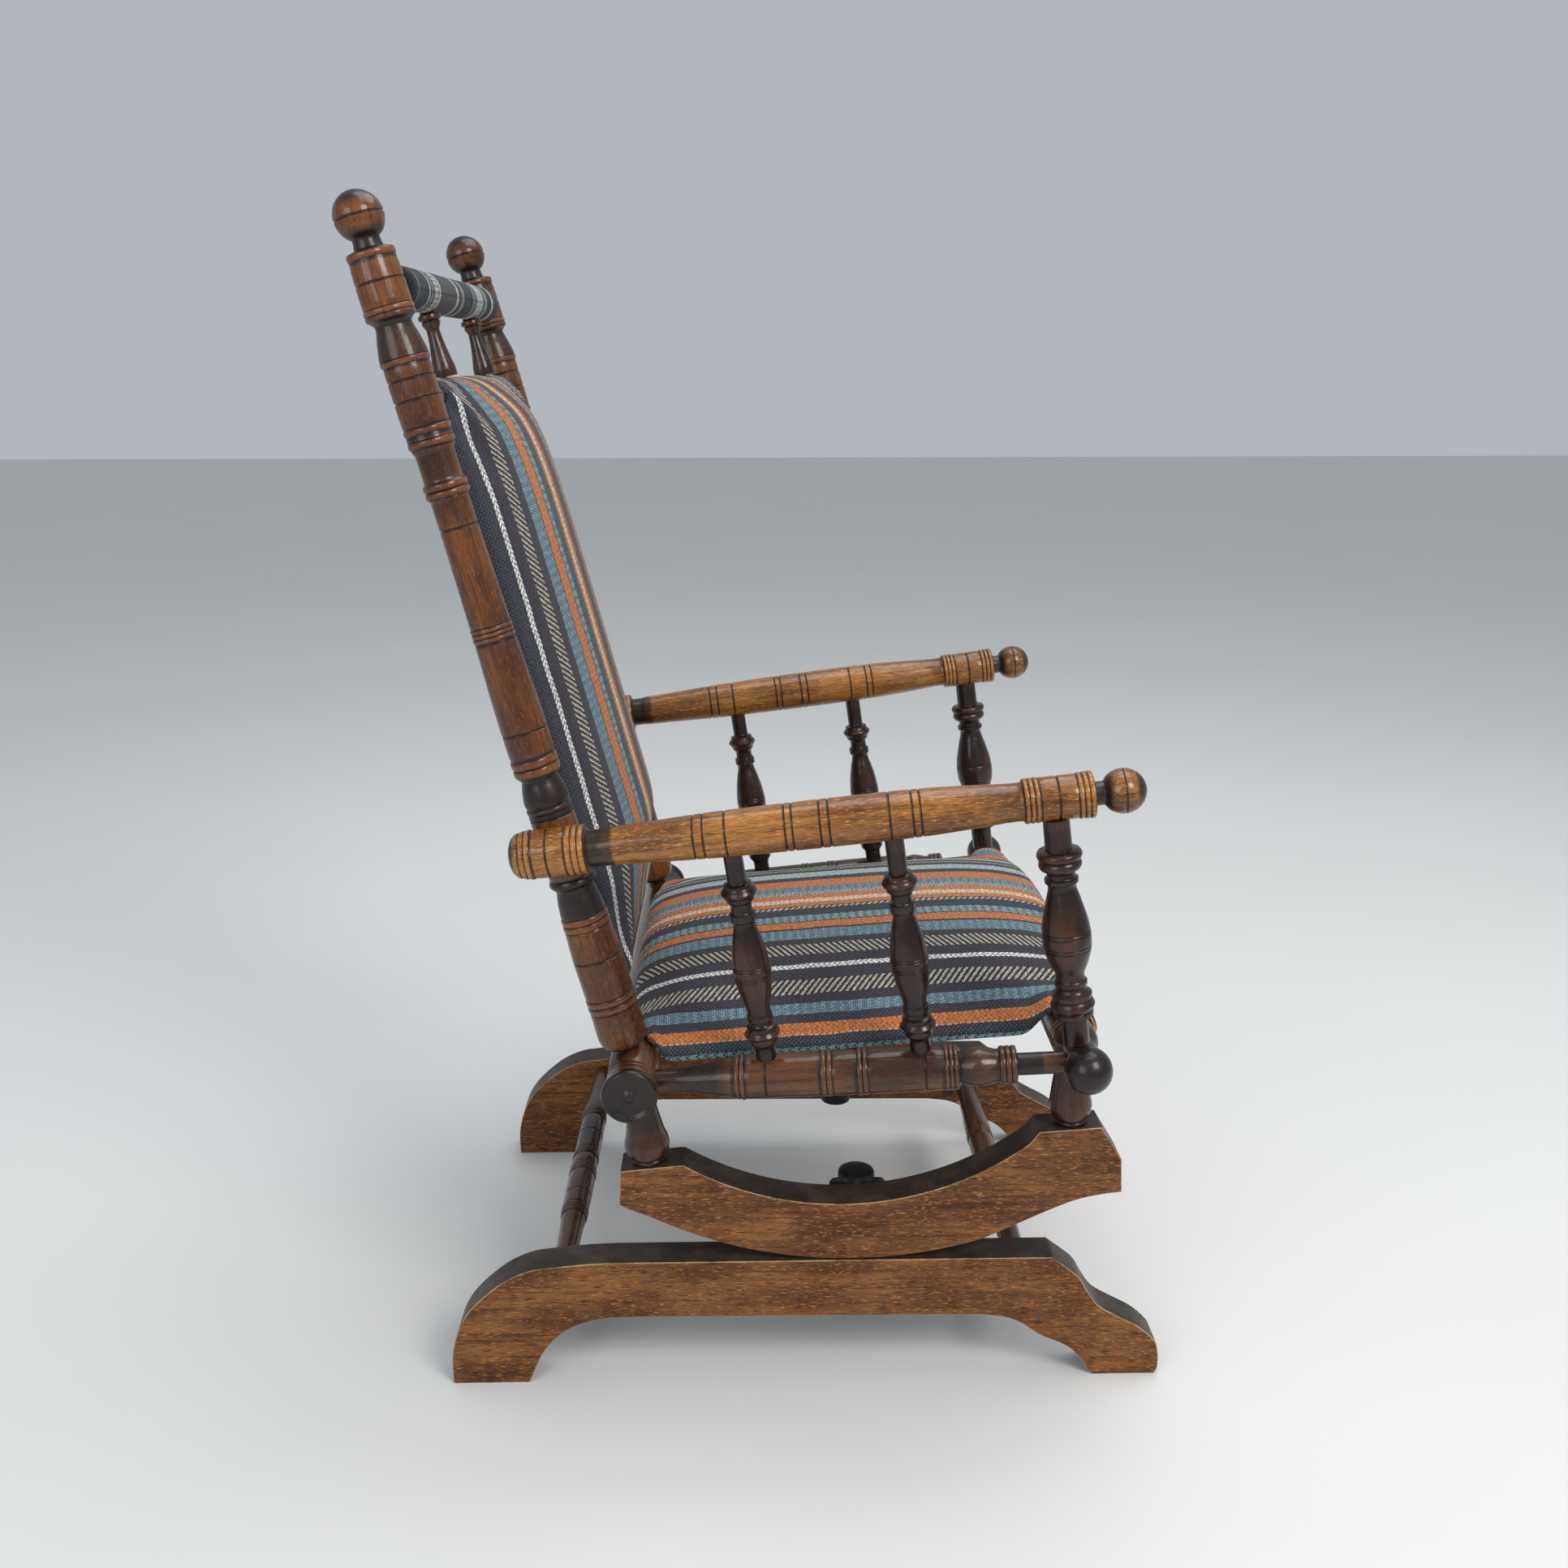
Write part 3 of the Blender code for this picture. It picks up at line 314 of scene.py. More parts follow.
ROLL_STRIPES = [
    (7.4, CHARCOAL, CHARCOAL, PLAIN), (3.2, WHITE, SLATE, PLAIN), (38.3, CHARCOAL, SLATE, PLAIN),
    (5.4, WHITE, WHITE, PLAIN), (5.5, CHARCOAL, CHARCOAL, PLAIN), (5.6, WHITE, SLATE, PLAIN),
    (4.5, CHARCOAL, CHARCOAL, PLAIN), (17.6, WHITE, SLATE, DOTS), (3.1, CHARCOAL, SLATE, PLAIN),
    (6.3, WHITE, WHITE, PLAIN), (5, TAUPE, SLATE, PLAIN), (1.2, WHITE, SLATE, PLAIN),
    (5, TAUPE, SLATE, PLAIN), (62.6, TAUPE, SLATE, PLAIN), (8, WHITE, WHITE, PLAIN),
    (4, CHARCOAL, SLATE, PLAIN), (3, TAUPE, SLATE, PLAIN), (4, CHARCOAL, SLATE, PLAIN),
    (6, TAUPE, SLATE, PLAIN), (10.5, WHITE, SLATE, PLAIN), (33, SLATE, CHARCOAL, PLAIN),
    (10.7, CHARCOAL, CHARCOAL, PLAIN), (4, WHITE, SLATE, PLAIN), (4, CHARCOAL, CHARCOAL, PLAIN),
    (4, WHITE, SLATE, PLAIN), (10, CHARCOAL, SLATE, PLAIN), (34.6, WHITE, AQUA, DOTS),
    (9, SLATE, SLATE, PLAIN), (15.4, WHITE, SLATE, PLAIN), (24.3, CHARCOAL, NAVY, PLAIN),
    (10.8, WHITE, WHITE, PLAIN), (90, CHARCOAL, SLATE, PLAIN),
]


def stripe_lookup(graph, across, stripes, start):
    """The main colour, second colour and weave at a distance across the cloth, from its list of stripes.

    Past the end of the list the stripes come back in the opposite order.
    """
    total = sum(stripe[0] for stripe in stripes) / 1000
    share = graph.divided(graph.minus(across, start), total)
    share = graph.maths("PINGPONG", share, 1.0)
    found = []
    for which in (1, 2):
        ramp = graph.node("ValToRGB", {0: share})
        ramp.color_ramp.interpolation = "CONSTANT"
        elements = ramp.color_ramp.elements
        while len(elements) > 1:
            elements.remove(elements[-1])
        edge = 0.0
        for i, stripe in enumerate(stripes):
            element = elements[0] if i == 0 else elements.new(edge / total)
            element.position = edge / total
            element.color = (*stripe[which], stripe[3])
            edge += stripe[0] / 1000
        found.append(ramp)
    return found[0].outputs[0], found[1].outputs[0], found[0].outputs[1]


def cloth_material(name, stripes, start, yarn=YARN):
    """Coarse striped cloth. The attributes across and along are distances over the cloth in metres."""
    graph = Graph(name)
    across, along = graph.attribute("across"), graph.attribute("along")
    flat = graph.node("CombineXYZ", {0: across, 1: along, 2: 0.0}).outputs[0]
    wander = graph.times(graph.minus(graph.noise(flat, (30, 30, 30), 2), 0.5), 0.0035)
    fray = graph.times(graph.minus(graph.noise(flat, (500, 500, 1), 2), 0.5), 0.0018)
    where = graph.plus(graph.plus(across, wander), fray)
    main, second, weave = stripe_lookup(graph, where, stripes, start)

    def wave(value, pitch):
        return graph.maths("SINE", graph.times(value, math.pi / pitch))

    over = graph.times(wave(where, yarn), wave(along, yarn))
    plain_height = graph.maths("POWER", graph.absolute(over), 0.6)
    plain_mask = graph.maths("GREATER_THAN", over, 0.0)

    lean = graph.between(weave, 0.30, 0.45, 1.0, -1.0)
    slant = graph.plus(graph.divided(along, 0.0060),
                        graph.times(lean, graph.divided(where, 0.0086)))
    slant = graph.maths("FRACT", graph.plus(slant, graph.times(fray, 160.0)))
    twill_mask = graph.between(graph.absolute(graph.minus(slant, 0.5)), 0.17, 0.24)
    twill_height = graph.absolute(graph.maths("SINE", graph.times(slant, math.tau)))

    zigzag = graph.absolute(graph.minus(graph.maths("FRACT", graph.divided(where, 0.0056)), 0.5))
    plait = graph.maths("FRACT", graph.plus(graph.divided(along, 0.0050), graph.times(zigzag, 1.6)))
    braid_mask = graph.between(graph.absolute(graph.minus(plait, 0.5)), 0.34, 0.48)
    braid_height = graph.maths("SINE", graph.times(plait, math.pi))

    dot_mask = graph.times(plain_mask, graph.maths("GREATER_THAN", wave(along, 2 * yarn), 0.1))

    def woven_as(value):
        return graph.maths("COMPARE", weave, value, 0.1)

    is_twill = graph.plus(woven_as(TWILL), woven_as(TWILL_BACK))
    mask = graph.blend(is_twill, plain_mask, twill_mask)
    mask = graph.blend(woven_as(BRAID), mask, braid_mask)
    mask = graph.blend(woven_as(DOTS), mask, dot_mask)
    height = graph.blend(is_twill, plain_height, twill_height)
    height = graph.blend(woven_as(BRAID), height, braid_height)

    fuzz = graph.noise(flat, (800, 800, 1), 2)
    tone = graph.noise(flat, (260, 260, 1), 3)
    colour = graph.mix(mask, main, second)
    # Painted shade between the yarns: darker where the weave is low.
    colour = graph.mix(graph.between(height, 0.0, 0.75, 0.70, 0.0), colour, (0.008, 0.009, 0.012))
    colour = graph.mix(graph.between(tone, 0.3, 0.72, 0.0, 0.45), colour, (0.02, 0.02, 0.026))
    colour = graph.mix(graph.between(fuzz, 0.55, 0.80, 0.0, 0.35), colour, (0.30, 0.31, 0.32))
    relief = graph.plus(height, graph.times(fuzz, 0.35))
    graph.bump(relief, 0.0009, 0.85)
    return graph.finish(colour, 0.92, Sheen_Weight=0.10, Sheen_Roughness=0.5, Specular_IOR_Level=0.15)


# ---------------------------------------------------------------- materials

# Near-black: the colour of the painted shade in grooves, coves and narrow places, and the real black of the
# rail ends.
BLACK_AND_PAINTED_SHADE = (0.0050, 0.0030, 0.0026)
POST_WOOD = turned_wood(
    "post_wood", (0.172, 0.058, 0.013), (0.062, 0.018, 0.006), (0.017, 0.006, 0.003),
    groove=BLACK_AND_PAINTED_SHADE, flecks=0.42, roughness=0.24, coat=0.22,
)
ARM_WOOD = turned_wood(
    "arm_wood", (0.360, 0.150, 0.030), (0.165, 0.057, 0.012), (0.040, 0.012, 0.004),
    groove=BLACK_AND_PAINTED_SHADE, flecks=0.66, roughness=0.25, coat=0.30,
)
RAIL_WOOD = turned_wood(
    "rail_wood", (0.110, 0.042, 0.014), (0.036, 0.012, 0.006), (0.012, 0.005, 0.004),
    groove=BLACK_AND_PAINTED_SHADE, flecks=0.28, roughness=0.23, coat=0.25,
)
DARK_WOOD = turned_wood(
    "dark_wood", (0.062, 0.020, 0.009), (0.019, 0.006, 0.004), (0.008, 0.0035, 0.003),
    groove=BLACK_AND_PAINTED_SHADE, flecks=0.16, roughness=0.21, coat=0.20,
)
BOARD_WOOD = board_wood(
    "base_wood", (0.230, 0.088, 0.020), (0.096, 0.030, 0.008), (0.024, 0.008, 0.003), (0.022, 0.015, 0.011),
    (0.48, 0.32, 0.17),
)
IRON = iron_material()
WEBBING = webbing_material()
SEAT_CLOTH = cloth_material("seat_cloth", SEAT_STRIPES, -0.2840)
BACK_CLOTH = cloth_material("back_cloth", BACK_STRIPES, -0.2300)
ROLL_CLOTH = cloth_material("roll_cloth", ROLL_STRIPES, 0.0, 0.0011)


# ---------------------------------------------------------------- turned pieces


def eased(points):
    """A curve through (distance, radius) points that never overshoots them."""
    spans = [(b[1] - a[1]) / (b[0] - a[0]) for a, b in zip(points, points[1:])]
    slopes = [spans[0]]
    for before, after in zip(spans, spans[1:]):
        slopes.append(0.0 if before * after <= 0 else 2 * before * after / (before + after))
    slopes.append(spans[-1])

    def radius(t):
        i = 0
        while i < len(points) - 2 and t > points[i + 1][0]:
            i += 1
        (start, low), (end, high) = points[i], points[i + 1]
        width = end - start
        u = min(max((t - start) / width, 0.0), 1.0)
        return (
            low * (1 + 2 * u) * (1 - u) ** 2
            + high * u * u * (3 - 2 * u)
            + width * (slopes[i] * u * (1 - u) ** 2 + slopes[i + 1] * u * u * (u - 1))
        )

    return radius


def groove(centre, width=0.0024, depth=0.0009):
    """A cut groove: where to sample it, and its change of radius and of painted shade."""

    def cut(t):
        x = abs(t - centre) / (width / 2)
        return (-depth * (1 - x * x), 1 - x * x) if x < 1 else (0.0, 0.0)

    return [centre + width / 2 * x for x in (-1, -0.7, -0.35, 0, 0.35, 0.7, 1)], cut


def beads(start, end, count, height=0.0011):
    """Round beads side by side, with painted shade in the grooves between and outside them, and crests made
    lighter: wear and painted highlight.
    """

    def swell(t):
        if not start <= t <= end:
            return 0.0, 0.0
        phase = (t - start) / (end - start) * count
        x = 2 * (phase - min(int(phase), count - 1)) - 1
        round_part = math.sqrt(max(0.0, 1 - x * x))
        # Radius change, then painted shade: dark in the grooves, below zero on the crests for wear and
        # painted highlight.
        return height * (round_part - 0.45), 1.1 * (1 - round_part) ** 1.1 - 0.22 * round_part

    pitch = (end - start) / count
    places = (-1, -0.9, -0.66, -0.33, 0, 0.33, 0.66, 0.9)
    samples = [start + pitch * (i + (1 + x) / 2) for i in range(count) for x in places]
    return samples + [end - 1e-7], swell


def pair(first, second, width=0.0022, depth=0.0009):
    return [groove(first, width, depth), groove(second, width, depth)]


def ball(centre, radius, start_angle, end_angle, spans=12):
    points = []
    for i in range(spans + 1):
        angle = math.radians(start_angle + (end_angle - start_angle) * i / spans)
        points.append((centre - radius * math.cos(angle), max(radius * math.sin(angle), 0.0002)))
    return points


def dress(obj, material, slot, body, *replaced):
    """Gives a new piece its material, its body and the CAD nodes that it stands for."""
    obj.data.materials.clear()
    obj.data.materials.append(material)
    if body:
        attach(obj, body)
    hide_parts(*replaced)
    return obj


def link(name, data):
    obj = bpy.data.objects.new(name, data)
    bpy.context.scene.collection.objects.link(obj)
    return obj


def new_object(name, verts, faces):
    mesh = bpy.data.meshes.new(name)
    mesh.from_pydata([tuple(v) for v in verts], [], faces)
    mesh.update()
    return link(name, mesh)


def smooth(obj, sharp_angle):
    obj.data.shade_smooth()
    obj.data.set_sharp_from_angle(angle=math.radians(sharp_angle))


def ring(radius, height, segments):
    angles = [math.tau * k / segments for k in range(segments)]
    return [(radius * math.cos(angle), radius * math.sin(angle), height) for angle in angles]


def tube_faces(rows, segments, capped=True):
    """The faces between rings of points that follow each other and, if capped, one over each end."""
    faces = []
    for i in range(rows - 1):
        here, beyond = i * segments, (i + 1) * segments
        for k in range(segments):
            n = (k + 1) % segments
            faces.append((here + k, here + n, beyond + n, beyond + k))
    if capped:
        faces.append(tuple(reversed(range(segments))))
        faces.append(tuple(range((rows - 1) * segments, rows * segments)))
    return faces


def add_values(obj, name, values):
    attribute = obj.data.attributes.new(name, "FLOAT", "POINT")
    attribute.data.foreach_set("value", values)


seed_count = 0


def paint_shade_and_seed(obj, shades):
    """Gives a turned piece its painted shade at each point (and the black of the rail ends), and a seed that
    makes its grain its own.
    """
    global seed_count
    add_values(obj, "shade", shades)
    seed_count += 1
    add_values(obj, "seed", [seed_count * 0.37] * len(shades))


def lay(obj, first, last):
    """Places a piece so that its own Z runs from first towards last."""
    turn = (last - first).to_track_quat("Z", "Y").to_matrix().to_4x4()
    obj.matrix_world = Matrix.Translation(first) @ turn


def rail_ends(centre, half_x):
    """The two ends of a piece that lies across the chair."""
    return centre - Vector((half_x, 0, 0)), centre + Vector((half_x, 0, 0))


def lathe(name, points, features, first, last, step=0.004, segments=40, dark=(), narrow_shade=0.8):
    """Turns a profile about the line from first to last.

    Narrow places and the spans in dark get painted shade; on the rail ends the dark spans are their real
    black.
    """
    radius = eased(points)
    start, end = points[0][0], points[-1][0]
    stations = {round(t, 6) for t, _ in points}
    stations |= {round(start + step * i, 6) for i in range(int((end - start) / step) + 1)}
    for samples, _ in features:
        stations |= {round(t, 6) for t in samples if start <= t <= end}
    kept = []
    for t in sorted(stations):
        if not kept or t - kept[-1] > 0.00012:
            kept.append(t)
    plain = [radius(t) for t in kept]
    verts, shades = [], []
    for i, t in enumerate(kept):
        nearby = [plain[k] for k in range(len(kept)) if abs(kept[k] - t) < 0.022]
        widest = max(nearby)
        # Painted shade: the narrower a place is than the widest within 22 mm, the darker.
        shade = narrow_shade * min(1.0, max(0.0, (0.97 - plain[i] / widest) / 0.25))
        for from_t, to_t, amount in dark:
            ease = min(1.0, max(0.0, min(t - from_t, to_t - t) / 0.002 + 0.5))
            shade = max(shade, amount * ease)
        r = plain[i]
        # Grooves and beads add painted shade; bead crests lower it below zero, for wear and painted
        # highlight.
        for _, change in features:
            move, extra = change(t)
            r += move
            shade = max(shade, extra) if extra > 0 else shade + extra
        verts += ring(r, t, segments)
        shades += [shade] * segments
    rows = len(kept)
    faces = tube_faces(rows, segments, capped=False)
    for row, flip in ((0, True), (rows - 1, False)):
        centre = len(verts)
        verts.append((0, 0, kept[row]))
        shades.append(shades[row * segments])
        for k in range(segments):
            edge = (row * segments + k, row * segments + (k + 1) % segments)
            faces.append((centre, *(reversed(edge) if flip else edge)))
    obj = new_object(name, verts, faces)
    smooth(obj, 50)
    paint_shade_and_seed(obj, shades)
    lay(obj, first, last)
    return obj


def mirrored(point, side):
    return Vector((point.x * side, point.y, point.z))


def both_ends(half, length):
    return half + [(length - t, r) for t, r in reversed(half)]


# In the lists from here to SIDE_RAIL_FEATURES, in the outlines of the boards and in the widths of the
# stripes above, many numbers were measured by a program and copied. They were not set out by hand
# from driving sizes.

POST_POINTS = ball(0, 0.0199, 0, 147) + [
    (0.0185, 0.0109), (0.0240, 0.0118), (0.0264, 0.0189), (0.0317, 0.0189), (0.0497, 0.0196),
    (0.0744, 0.0197), (0.0776, 0.0190), (0.0818, 0.0147), (0.0950, 0.0176), (0.1090, 0.0199),
    (0.1135, 0.0190), (0.1411, 0.0191), (0.1770, 0.0187), (0.1845, 0.0160), (0.2060, 0.0162),
    (0.2076, 0.0177), (0.2193, 0.0177), (0.2212, 0.0159), (0.2450, 0.0160), (0.3270, 0.0173),
    (0.3404, 0.0176), (0.4209, 0.0197), (0.4585, 0.0195), (0.4628, 0.0160), (0.4720, 0.0182),
    (0.4832, 0.0198), (0.4885, 0.0192), (0.4981, 0.0195), (0.5555, 0.0195), (0.5588, 0.0202),
    (0.5615, 0.0198), (0.5653, 0.0170), (0.5760, 0.0188), (0.5895, 0.0201), (0.6040, 0.0208),
    (0.6322, 0.0220), (0.6814, 0.0217), (0.7060, 0.0222), (0.7140, 0.0210), (0.7195, 0.0172),
    (0.7228, 0.0105), (0.7350, 0.0100),
]
POST_FEATURES = [
    groove(0.0), beads(0.0262, 0.0320, 1), groove(0.0497), beads(0.0690, 0.0782, 2),
    beads(0.1085, 0.1135, 1), groove(0.1249), groove(0.1411), beads(0.1625, 0.1680, 1),
    beads(0.1725, 0.1785, 1), beads(0.2074, 0.2196, 2, 0.0014), groove(0.2450), beads(0.3281, 0.3404, 3),
    groove(0.4209), beads(0.4440, 0.4595, 2, 0.0014), beads(0.4880, 0.4930, 1), groove(0.4980),
    beads(0.5545, 0.5620, 1, 0.0014), beads(0.5905, 0.6030, 2), groove(0.6322), beads(0.6690, 0.6825, 2),
]
# Spans painted darker (from, to, amount): painted shade in the neck under the top ball and in the coves.
POST_DARK = [(0.0160, 0.0270, 0.9), (0.0740, 0.1090, 0.55), (0.4590, 0.4990, 0.75), (0.5540, 0.5900, 0.80)]

ARM_REAR = spot(0.2522, 0.2400, 0.5345)
ARM_FRONT = spot(0.2748, -0.2594, 0.5943)
ARM_LENGTH = (ARM_REAR - ARM_FRONT).length
ARM_POINTS = [
    (-0.0124, 0.0004), (-0.0122, 0.0050), (-0.0112, 0.0105), (-0.0092, 0.0150), (-0.0066, 0.0178),
    (0.0080, 0.0208), (0.0219, 0.0209), (0.0378, 0.0209), (0.0540, 0.0206), (0.0550, 0.0190),
    (0.0562, 0.0156), (0.0654, 0.0155), (0.0700, 0.0161), (0.1070, 0.0174), (0.1540, 0.0193),
    (0.1725, 0.0197), (0.2287, 0.0204), (0.2593, 0.0206), (0.3096, 0.0206), (0.3353, 0.0202),
    (0.3799, 0.0182), (0.4150, 0.0162), (0.4196, 0.0165), (0.4208, 0.0185), (0.4331, 0.0187),
    (0.4492, 0.0188), (0.4650, 0.0189), (0.4784, 0.0194), (0.4796, 0.0150), (0.4804, 0.0102),
    (0.4855, 0.0100),
] + ball(ARM_LENGTH, 0.0191, 32, 180)
ARM_FEATURES = [
    beads(-0.0070, 0.0084, 3), groove(0.0219), beads(0.0378, 0.0542, 3), *pair(0.1457, 0.1540),
    groove(0.1725), *pair(0.2225, 0.2287), *pair(0.2518, 0.2593), groove(0.3096), *pair(0.3286, 0.3353),
    beads(0.4206, 0.4338, 3), groove(0.4492), beads(0.4650, 0.4786, 3),
    groove(ARM_LENGTH, 0.0016, 0.0006),
]
# Spans painted darker (from, to, amount): painted shade at the rounded rear end and in the necks; the end
# ball a little darker.
ARM_DARK = [(-0.0130, -0.0060, 0.6), (0.0545, 0.0600, 0.7), (0.4790, 0.4880, 0.95), (0.4880, 0.5300, 0.30)]

FRONT_POST_POINTS = [
    (-0.0100, 0.0112), (0.0160, 0.0115), (0.0172, 0.0118), (0.0182, 0.0178), (0.0216, 0.0193),
    (0.0253, 0.0180), (0.0262, 0.0174), (0.0300, 0.0184), (0.0336, 0.0170), (0.0358, 0.0138),
    (0.0376, 0.0119), (0.0412, 0.0122), (0.0425, 0.0143), (0.0459, 0.0143), (0.0474, 0.0123),
    (0.0501, 0.0119), (0.0600, 0.0142), (0.0715, 0.0172), (0.0860, 0.0202), (0.0976, 0.0210),
    (0.1070, 0.0202), (0.1202, 0.0163), (0.1316, 0.0122), (0.1355, 0.0124), (0.1368, 0.0142),
    (0.1400, 0.0142), (0.1414, 0.0126), (0.1438, 0.0125), (0.1462, 0.0148), (0.1484, 0.0173),
    (0.1528, 0.0170), (0.1584, 0.0192), (0.1640, 0.0172), (0.1683, 0.0173), (0.1700, 0.0150),
    (0.1710, 0.0118), (0.1950, 0.0118),
]
FRONT_POST_FEATURES = [*pair(0.0898, 0.0930, 0.0016, 0.0006), *pair(0.1030, 0.1062, 0.0016, 0.0006),
                       groove(0.0255, 0.0018), groove(0.1528, 0.0018), groove(0.1640, 0.0018)]

SPINDLE_POINTS = [
    (0.0411, 0.0082), (0.0425, 0.0086), (0.0436, 0.0122), (0.0465, 0.0125), (0.0482, 0.0143),
    (0.0510, 0.0157), (0.0538, 0.0143), (0.0555, 0.0125), (0.0586, 0.0120), (0.0605, 0.0100),
    (0.0639, 0.0090), (0.0692, 0.0093), (0.0706, 0.0113), (0.0768, 0.0113), (0.0783, 0.0096),
    (0.0800, 0.0094), (0.0920, 0.0120), (0.1061, 0.0150), (0.1245, 0.0168), (0.1370, 0.0156),
    (0.1488, 0.0134), (0.1653, 0.0102), (0.1668, 0.0113), (0.1716, 0.0113), (0.1731, 0.0099),
    (0.1764, 0.0104), (0.1779, 0.0130), (0.1815, 0.0134), (0.1850, 0.0160), (0.1885, 0.0134),
    (0.1930, 0.0129), (0.1950, 0.0115), (0.1985, 0.0094), (0.2017, 0.0089),
]
SPINDLE_GROOVES = ((0.1185, 0.1210), (0.1285, 0.1310))

SIDE_RAIL_REAR = spot(0.2443, 0.1555, 0.3192)
SIDE_RAIL_FRONT = spot(0.2711, -0.2385, 0.3480)
SIDE_RAIL_POINTS = [
    (0.0125, 0.0103), (0.0400, 0.0107), (0.0620, 0.0132), (0.0850, 0.0170), (0.0921, 0.0184),
    (0.1015, 0.0197), (0.1200, 0.0196), (0.1689, 0.0197), (0.2090, 0.0199), (0.2600, 0.0196),
    (0.2880, 0.0190), (0.2892, 0.0182), (0.2905, 0.0142), (0.2960, 0.0158), (0.3061, 0.0178),
    (0.3160, 0.0159), (0.3228, 0.0142), (0.3238, 0.0144), (0.3248, 0.0162), (0.3390, 0.0162),
    (0.3399, 0.0135), (0.3408, 0.0098), (0.3860, 0.0097),
]
SIDE_RAIL_FEATURES = [
    beads(0.0921, 0.1015, 2), groove(0.1200), beads(0.1685, 0.1785, 2), beads(0.2003, 0.2097, 2),
    groove(0.2600), beads(0.2765, 0.2888, 3), beads(0.3246, 0.3394, 3),
]


def make_posts_and_arms():
    for word, side in SIDES:
        shift = Vector((side * POST_X, 0, 0))
        top, foot = POST_TOP + shift, REAR_RAIL + shift
        post = lathe(f"back_post_turned_{word}", POST_POINTS, POST_FEATURES, top, foot, dark=POST_DARK)
        dress(post, POST_WOOD, "post_wood", "rocking_frame", f"back_post_{word}")
        arm = lathe(f"arm_turned_{word}", ARM_POINTS, ARM_FEATURES, mirrored(ARM_REAR, side),
                    mirrored(ARM_FRONT, side), dark=ARM_DARK)
        dress(arm, ARM_WOOD, "arm_wood", "rocking_frame", f"arm_{word}")
        top, foot = spot(0.2745, -0.2060, 0.5610), spot(0.2720, -0.2330, 0.3640)
        front = lathe(f"arm_post_turned_{word}", FRONT_POST_POINTS, FRONT_POST_FEATURES, mirrored(top, side),
                      mirrored(foot, side), step=0.003, narrow_shade=0.5)
        dress(front, DARK_WOOD, "dark_wood", "rocking_frame", f"arm_post_front_{word}")


def make_spindles():
    for place, top, foot, drop in (
        ("rear", spot(0.2615, 0.0665, 0.5540), spot(0.2525, 0.0330, 0.3260), 0.0),
        ("middle", spot(0.2680, -0.0685, 0.5705), spot(0.2610, -0.1020, 0.3340), 0.0065),
    ):
        length = (top - foot).length
        points = [(0.0060, 0.0082)] + [(t + drop, r) for t, r in SPINDLE_POINTS] + [(length - 0.010, 0.0089)]
        features = []
        for first, second in SPINDLE_GROOVES:
            features += pair(first + drop, second + drop, 0.0014, 0.0005)
        for word, side in SIDES:
            spindle = lathe(f"arm_spindle_turned_{place}_{word}", points, features, mirrored(top, side),
                            mirrored(foot, side), step=0.003, segments=32, narrow_shade=0.5)
            dress(spindle, DARK_WOOD, "dark_wood", "rocking_frame", f"arm_spindle_{place}_{word}")


def make_seat_rails():
    half_x = 0.2830
    half = [
        (0.0010, 0.0003), (0.0012, 0.0028), (0.0016, 0.0040), (0.0034, 0.0056), (0.0042, 0.0085),
        (0.0036, 0.0160),
    ]
    disc = [
        (0.0030, 0.0180), (0.0009, 0.0205), (0.0004, 0.0222), (0.0015, 0.0240), (0.0045, 0.0248),
        (0.0085, 0.0244), (0.0108, 0.0224), (0.0124, 0.0213), (0.0170, 0.0222), (0.0300, 0.0225),
        (0.1200, 0.0225),
    ]
    rail = dished_rail("seat_rail_turned_rear", half, disc, half_x)
    dress(rail, RAIL_WOOD, "rail_wood", "rocking_frame", "seat_rail_rear")

    end_x = 0.2980 + 0.0207
    half = ball(0.0207, 0.0207, 0, 132) + [
        (0.0380, 0.0150), (0.0620, 0.0150), (0.0690, 0.0190), (0.0760, 0.0205), (0.1400, 0.0205),
    ]
    features = []
    for from_end in (0.0820, 0.0880):
        features += pair(from_end, 2 * end_x - from_end)
    dark = [(0.0, 0.0430, 0.85), (2 * end_x - 0.0430, 2 * end_x, 0.85)]
    points = both_ends(half, 2 * end_x)
    first, last = rail_ends(FRONT_RAIL, end_x)
    rail = lathe("seat_rail_turned_front", points, features, first, last, step=0.008, dark=dark)
    dress(rail, RAIL_WOOD, "rail_wood", "rocking_frame", "seat_rail_front")
    for word, side in SIDES:
        rail = lathe(f"seat_rail_turned_{word}", SIDE_RAIL_POINTS, SIDE_RAIL_FEATURES,
                     mirrored(SIDE_RAIL_REAR, side), mirrored(SIDE_RAIL_FRONT, side))
        dress(rail, RAIL_WOOD, "rail_wood", "rocking_frame", f"seat_rail_{word}")


def dished_rail(name, dish, rim, half_x):
    """The rear rail. The profile of its dished end discs turns back on itself, which lathe can't do."""
    segments = 48
    length = 2 * half_x
    stations = [(t, r, 0.85 if t < 0.013 else 0.0) for t, r in dish + rim]
    fine = []
    # Two fine grooves painted fully dark as shade; the dished ends (0.85) are the rail's real black.
    for centre in (0.0230, 0.0290):
        fine += [(centre - 0.0011, 0.0224, 0.0), (centre, 0.0216, 1.0), (centre + 0.0011, 0.0224, 0.0)]
    stations = [s for s in stations if s[0] < 0.02] + fine + [s for s in stations if s[0] > 0.031]
    stations += [(length - t, r, shade) for t, r, shade in reversed(stations)]
    verts, shades = [], []
    for t, r, shade in stations:
        verts += ring(r, t, segments)
        shades += [shade] * segments
    obj = new_object(name, verts, tube_faces(len(stations), segments))
    obj.data.shade_smooth()
    paint_shade_and_seed(obj, shades)
    lay(obj, *rail_ends(REAR_RAIL, half_x))
    return obj


